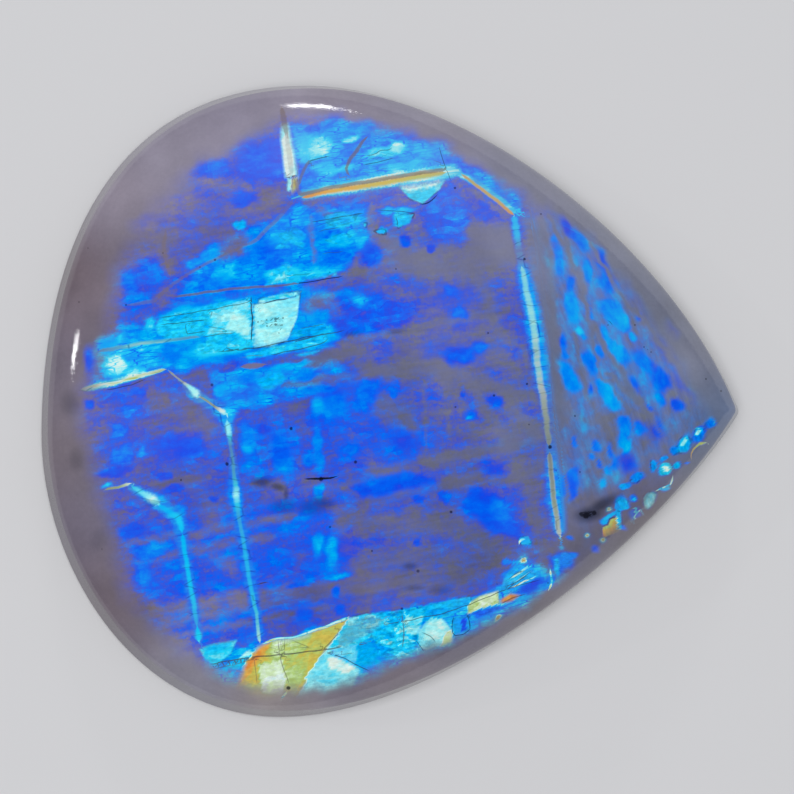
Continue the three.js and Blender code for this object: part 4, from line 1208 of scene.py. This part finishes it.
flashColours = [
    (0.0, (112, 108, 140)), (0.1, (94, 92, 170)), (0.22, (60, 70, 226)), (0.32, (14, 75, 240)),
    (0.42, (0, 100, 250)), (0.52, (0, 136, 252)), (0.62, (0, 182, 252)), (0.7, (36, 216, 252)),
    (0.765, (168, 247, 248)), (0.79, (232, 250, 242)), (0.815, (214, 240, 192)), (0.845, (178, 210, 120)),
    (0.87, (204, 196, 90)), (0.9, (226, 176, 80)), (0.94, (230, 148, 66)), (1.0, (150, 110, 90)),
]

# The crystal's blocks, bands and steps: size in mm along and across it
texture = {
    "coarse": (1.15, 0.56),
    "fine": (0.46, 0.24),
    "cloud": (2.2, 1.5),
    "lengthways": (2.6, 0.36),
    "crossways": (0.34, 1.9),
    # crumpled: the pattern of the shards' painted highlights and shade
    "crumpled": (0.5, 0.25),
    "steps": (1.9, 0.34),
    "breaks": (3.4, 1.3),
}

# The same for even textures: how many to a mm, detail, kind of noise, roughness
evenTexture = {
    "grain": (5.5, 2.0, "2D"),
    "cracking": (1.3, 2.0),
    "dust": (3.2, 3.0, "3D", 0.6),
    "mist": (0.22, 4.0),
}

skin = {
    "roughness": 0.045,
    "ior": 1.53,
    "glow": 0.2,  # painted glow: the share of the seen colour given out as emission where the flash shows, as if lit from within
    "reliefStrength": 0.12,
    "reliefDepth": 0.00005,  # in m
    "mist": 0.7,  # how much mist and dust change the milk's tone
    "dust": 0.2,
    "stepDepth": 0.25,  # how far steps lower the flash's order
    "paneCover": 0.94,
    "paneEdge": 0.5,  # how dark the panes' edges and the breaks across veins are
    "breakDark": 0.34,
    "coldCrack": (20, 30, 50),
    "warmCrack": (132, 116, 112),
    "speck": (14, 14, 22),
    "veil": (206, 200, 232),
}


def ramp(value, low, high):
    inputs = {"Value": value, "From Min": low, "From Max": high}
    return wire(value.tree, "ShaderNodeMapRange", inputs, "Result", interpolation_type="SMOOTHSTEP")


def blend(factor, first, second):
    return wire(factor.tree, "ShaderNodeMix", {0: factor, 6: first, 7: second}, 2, data_type="RGBA")


def steady(factor, first, second):
    return wire(factor.tree, "ShaderNodeMix", {0: factor, 2: first, 3: second}, data_type="FLOAT")


def noise(vector, scale, detail, dimensions="3D", roughness=0.5):
    # uneven values around nothing
    inputs = {"Vector": vector, "Scale": scale, "Detail": detail, "Roughness": roughness}
    return wire(vector.tree, "ShaderNodeTexNoise", inputs, noise_dimensions=dimensions) - 0.5


def stretched(crystal, name):
    return vectors("DIVIDE", crystal, (*texture[name], 1))


def cells(crystal, name, randomness, output, feature="F1"):
    inputs = {"Vector": stretched(crystal, name), "Scale": 1.0, "Randomness": randomness}
    return wire(
        crystal.tree, "ShaderNodeTexVoronoi", inputs, output,
        voronoi_dimensions="2D", distance="CHEBYCHEV", feature=feature,
    )


def blocks(crystal, name):
    # one random value around nothing for each small block of the crystal's layers
    return split(cells(crystal, name, 0.85, "Color"))[0] - 0.5


def seams(crystal, name, width):
    # thin steps between blocks
    nearest, second = (cells(crystal, name, 0.9, "Distance", feature) for feature in ("F1", "F2"))
    return ramp(second - nearest, width, 0.0)


def lineShape(away, halfWidth, uneven, inner):
    # how much of a line lies over a place, from 0 to 1, with uneven edges
    return ramp(abs(away) / larger(halfWidth, 1e-4) + uneven, 1.0, inner)


def flashRamp(order):
    node = addNode(order.tree, "ShaderNodeValToRGB", {"Fac": order})
    stops = node.color_ramp.elements
    stops[1].position = 1
    for place, colour in flashColours:
        stop = stops.new(place) if 0 < place < 1 else stops[0 if place == 0 else len(stops) - 1]
        stop.color = linear(*colour) + [1]
    return Wire(node.outputs["Color"])


def moonstoneFinish():
    material = bpy.data.materials.new("moonstoneFlash")
    material.use_nodes = True
    tree = material.node_tree
    tree.nodes.clear()

    def attribute(name, output="Fac"):
        return wire(tree, "ShaderNodeAttribute", None, output, attribute_name=name)

    def painted(name):
        # the four values that were painted on the stone under this name
        return *split(attribute(name, "Vector")), attribute(name, "Alpha")

    def bands(name, detail, roughness=0.5):
        return noise(stretched(crystal, name), 1.0, detail, "2D", roughness)

    inMm = scaled(wire(tree, "ShaderNodeTexCoord", None, "Object"), 1 / mm)
    level, steep = (
        wire(
            tree, "ShaderNodeVectorRotate",
            {"Vector": inMm, "Angle": -math.radians(flash[lean])}, rotation_type="Z_AXIS",
        )
        for lean in ("grainLean", "steepLean")
    )
    crystal = wire(tree, "ShaderNodeMix", {0: attribute("steep"), 4: level, 5: steep}, 1, data_type="VECTOR")
    clear = attribute("clear")
    drawn, shown, grit, _ = painted("flash")

    # the flash: layers in small blocks, drifting from place to place
    fine = blocks(crystal, "fine")
    cloud = bands("cloud", 4.0, 0.6)
    lengthways = bands("lengthways", 2.0)
    grain = noise(crystal, *evenTexture["grain"])
    rough = blocks(crystal, "coarse") * 0.9 + fine * 0.7 + grain * 0.6
    cloudy = (lengthways + bands("crossways", 2.0)) * grit * 0.6 + cloud * 0.4
    quiet = ramp(drawn, 0.68, 0.5)
    order = rough * grit + drawn + cloudy * steady(quiet, 0.35, 1.0)
    order = smaller(order, larger(drawn, 0.785))
    blocky = ramp(grit, 0.02, 0.12)
    patchy = cloudy * 3.6 + (fine * 0.24 + grain * 0.4) * blocky
    loose = ramp(shown, 0.0, 0.3) * ramp(shown, 1.0, 0.8) * steady(clear, 0.3, 1.0)
    firm = steady(ramp(shown, 0.4, 0.85), 0.15, 0.55)
    shown = maths("MULTIPLY_ADD", patchy, loose, shown, clamp=True)
    shown = steady(firm, shown, ramp(shown, 0.12, 0.78))

    # bright veins and their warm cores
    ragged = grain * 0.4
    away, halfWidth, veinOrder, cover = painted("halo")
    vein = lineShape(away, halfWidth, ragged, 0.3)
    order = steady(vein, order, larger(lengthways * 0.3 + veinOrder, order * 0.9))
    shown = steady(vein, shown, cover)
    away, halfWidth, coreOrder, cover = painted("core")
    core = lineShape(away, halfWidth, ragged, 0.2)
    coreOrder = lengthways * 0.06 + coreOrder
    shown = steady(core, shown, cover)
    lines = larger(vein, core)
    beside = 1.0 - lines

    # fine dark steps in the bright layers, and across the veins
    steps = seams(crystal, "steps", 0.14) * ramp(order, 0.5, 0.66) * ramp(cloud, -0.08, 0.08)
    steps = steps * blocky * beside
    breaks = seams(crystal, "breaks", 0.07) * ramp(order, 0.84, 0.78) * ramp(coreOrder, 0.86, 0.8) * lines
    order = order - (breaks * 0.25 + steps) * skin["stepDepth"]
    colour = blend(core, flashRamp(order), flashRamp(coreOrder))

    # panes with sharp edges
    drawn, depth, soft, paneRough = painted("pane")
    order = smaller(rough * paneRough + drawn + cloud * 0.07, larger(drawn + 0.012, 0.768))
    depth = ragged * 0.16 + depth
    pane = ramp(depth / soft, -1.0, 1.0) * beside
    # painted highlights and shade: the crumpled shards made lighter and darker in patches
    paintedShineAndShade = bands("crumpled", 2.0) * (paneRough * 8.0 + 0.4)
    colour = blend(pane, colour, scaled(flashRamp(order), paintedShineAndShade + 1.0))
    broken = ramp(noise(inMm, *evenTexture["cracking"]), -0.06, 0.12)
    edges = ramp(abs(depth + 0.03), 0.1, 0.03) * ramp(soft, 0.15, 0.07) * broken * clear * beside
    edges = larger(edges * skin["paneEdge"], breaks * skin["breakDark"])
    shown = larger(shown, pane * clear * skin["paneCover"])

    # the milky body with its haze
    dust = noise(inMm, *evenTexture["dust"])
    tone = noise(inMm, *evenTexture["mist"]) * skin["mist"] + 1.0 + dust * skin["dust"]
    tone = tone + lengthways * loose * 0.4
    seen = blend(shown, scaled(attribute("ground", "Color"), tone), colour)
    tints = ("veil", "coldCrack", "warmCrack", "speck")
    veiled, cold, warm, black = (linear(*skin[name]) + [1] for name in tints)
    seen = blend(attribute("veil"), seen, veiled)

    # the panes' edges, shadows, cracks and specks lie in front of the flash
    seen = blend(edges, seen, cold)
    seen = blend(attribute("ground", "Alpha"), seen, cold)
    away, halfWidth, dark, warmth = painted("crack")
    seen = blend(lineShape(away, halfWidth, ragged, 0.4) * dark, seen, blend(warmth, cold, warm))
    right, down, halfWidth, dark = painted("speck")
    away = vectors("LENGTH", wire(tree, "ShaderNodeCombineXYZ", {"X": right, "Y": down}))
    seen = blend(lineShape(away, halfWidth, ragged, 0.5) * dark, seen, black)

    # painted glow: where the flash shows, part of the colour leaves as emission instead of as base colour
    glow = shown * skin["glow"]
    relief = {"Strength": skin["reliefStrength"], "Distance": skin["reliefDepth"], "Height": dust}
    surface = {
        "Base Color": scaled(seen, 1.0 - glow),
        "Roughness": skin["roughness"],
        "IOR": skin["ior"],
        "Emission Color": seen,
        "Emission Strength": glow,
        "Normal": wire(tree, "ShaderNodeBump", relief, "Normal"),
    }
    addNode(tree, "ShaderNodeOutputMaterial", {"Surface": wire(tree, "ShaderNodeBsdfPrincipled", surface)})
    return material


# A map that lays the dome and the wall out in one piece, with the back small below it

mapLayout = {"topScale": 0.0136, "backScale": 0.00375, "topCentre": (0.43, 0.6), "backCentre": (0.14, 0.11)}


def layMap(body, rings, meanRadius):
    mesh = body.data
    points, ring = pointsAndRings(mesh)
    points = points / mm
    share, height = np.array(rings).T
    lengths = np.hypot(np.diff(share) * meanRadius, np.diff(height))
    wallTop, backEdge = stone["domeRings"], len(rings) - len(stone["backShares"]) - 1
    fromWallTop = np.concatenate([[0], np.cumsum(lengths)])
    fromWallTop = np.clip(fromWallTop - fromWallTop[wallTop], 0, None)

    flat = points[:, :2]
    outwards = flat / np.maximum(np.hypot(*flat.T), 1e-6)[:, None]
    unrolled = flat / np.maximum(share[ring], 1e-6)[:, None] * share[wallTop]
    unrolled = np.where((ring > wallTop)[:, None], unrolled + outwards * fromWallTop[ring][:, None], flat)
    onTop = unrolled * mapLayout["topScale"] + mapLayout["topCentre"]
    onBack = flat * (-mapLayout["backScale"], mapLayout["backScale"]) + mapLayout["backCentre"]

    corner = np.empty(len(mesh.loops), np.int32)
    mesh.loops.foreach_get("vertex_index", corner)
    sides = np.array([p.loop_total for p in mesh.polygons])
    face = np.repeat(np.arange(len(sides)), sides)
    deepest = np.zeros(len(sides), int)
    np.maximum.at(deepest, face, ring[corner])
    behind = (deepest > backEdge)[face]
    laid = np.where(behind[:, None], onBack[corner], onTop[corner])
    uv = mesh.uv_layers.new(name="OFBake")
    uv.uv.foreach_set("vector", np.ascontiguousarray(laid, np.float32).ravel())
    print("map laid:", laid.min(0).round(3), laid.max(0).round(3))


# Floor and light

studio = {
    "floorSize": 1.6,
    "floorColour": (214, 214, 216),
    "floorRoughness": 0.85,
    "worldColour": (0.86, 0.87, 0.9),
    "worldStrength": 0.34,
    "overhead": {"size": 0.5, "place": (-0.06, -0.02, 0.6), "watts": 2.75},
    "stripsAway": 0.6,
    # angles in degrees: azimuth, elevation, width and height as the stone sees them, then radiance
    "strips": {
        "far": (91.6, 15, 8.4, 2.9, 27),
        "farSmall": (84.9, 15.2, 0.7, 1.6, 27),
        "farSmaller": (83.2, 15.2, 0.4, 1.1, 27),
        "left": (168.6, 23.6, 3.6, 1.8, 44),
    },
}


def makeFloor():
    half = studio["floorSize"] / 2
    mesh = bpy.data.meshes.new("studioFloor")
    corners = [(x * half, y * half, 0) for x, y in ((-1, -1), (1, -1), (1, 1), (-1, 1))]
    mesh.from_pydata(corners, [], [(0, 1, 2, 3)])
    floor = addObject("studioFloor", mesh)
    material = bpy.data.materials.new("paleFloor")
    material.use_nodes = True
    surface = material.node_tree.nodes["Principled BSDF"].inputs
    surface["Base Color"].default_value = linear(*studio["floorColour"]) + [1]
    surface["Roughness"].default_value = studio["floorRoughness"]
    mesh.materials.append(material)


def placeLight(name, place, wide, tall, watts):
    data = bpy.data.lights.new(name, "AREA")
    data.shape = "RECTANGLE"
    data.size, data.size_y = wide, tall
    data.energy = watts
    light = addObject(name, data)
    light.location = place
    light.rotation_euler = Vector(place).to_track_quat("Z", "Y").to_euler()
    return light


def makeLight():
    world = bpy.data.worlds.new("studioAir")
    world.use_nodes = True
    background = world.node_tree.nodes["Background"].inputs
    background["Color"].default_value = (*studio["worldColour"], 1)
    background["Strength"].default_value = studio["worldStrength"]
    world.cycles_visibility.glossy = False
    bpy.context.scene.world = world
    overhead, away = studio["overhead"], studio["stripsAway"]
    side = overhead["size"]
    softbox = placeLight("softOverhead", overhead["place"], side, side, overhead["watts"])
    softbox.visible_glossy = False
    for name, (*angles, radiance) in studio["strips"].items():
        azimuth, elevation, wide, tall = (math.radians(angle) for angle in angles)
        level = math.cos(elevation) * away
        place = (level * math.cos(azimuth), level * math.sin(azimuth), math.sin(elevation) * away)
        wide, tall = (2 * away * math.tan(angle / 2) for angle in (wide, tall))
        placeLight(name + "Strip", place, wide, tall, radiance * math.pi * wide * tall)


bpy.context.scene.view_settings.view_transform = "Standard"
camera = makeCamera()
finish = moonstoneFinish()
print("camera and finish made")
body, rings, meanRadius = makeBody(finish)
paint(body, camera)
layMap(body, rings, meanRadius)
makeFloor()
makeLight()
print("floor and light made")

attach(body, "root")
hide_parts("moonstone")
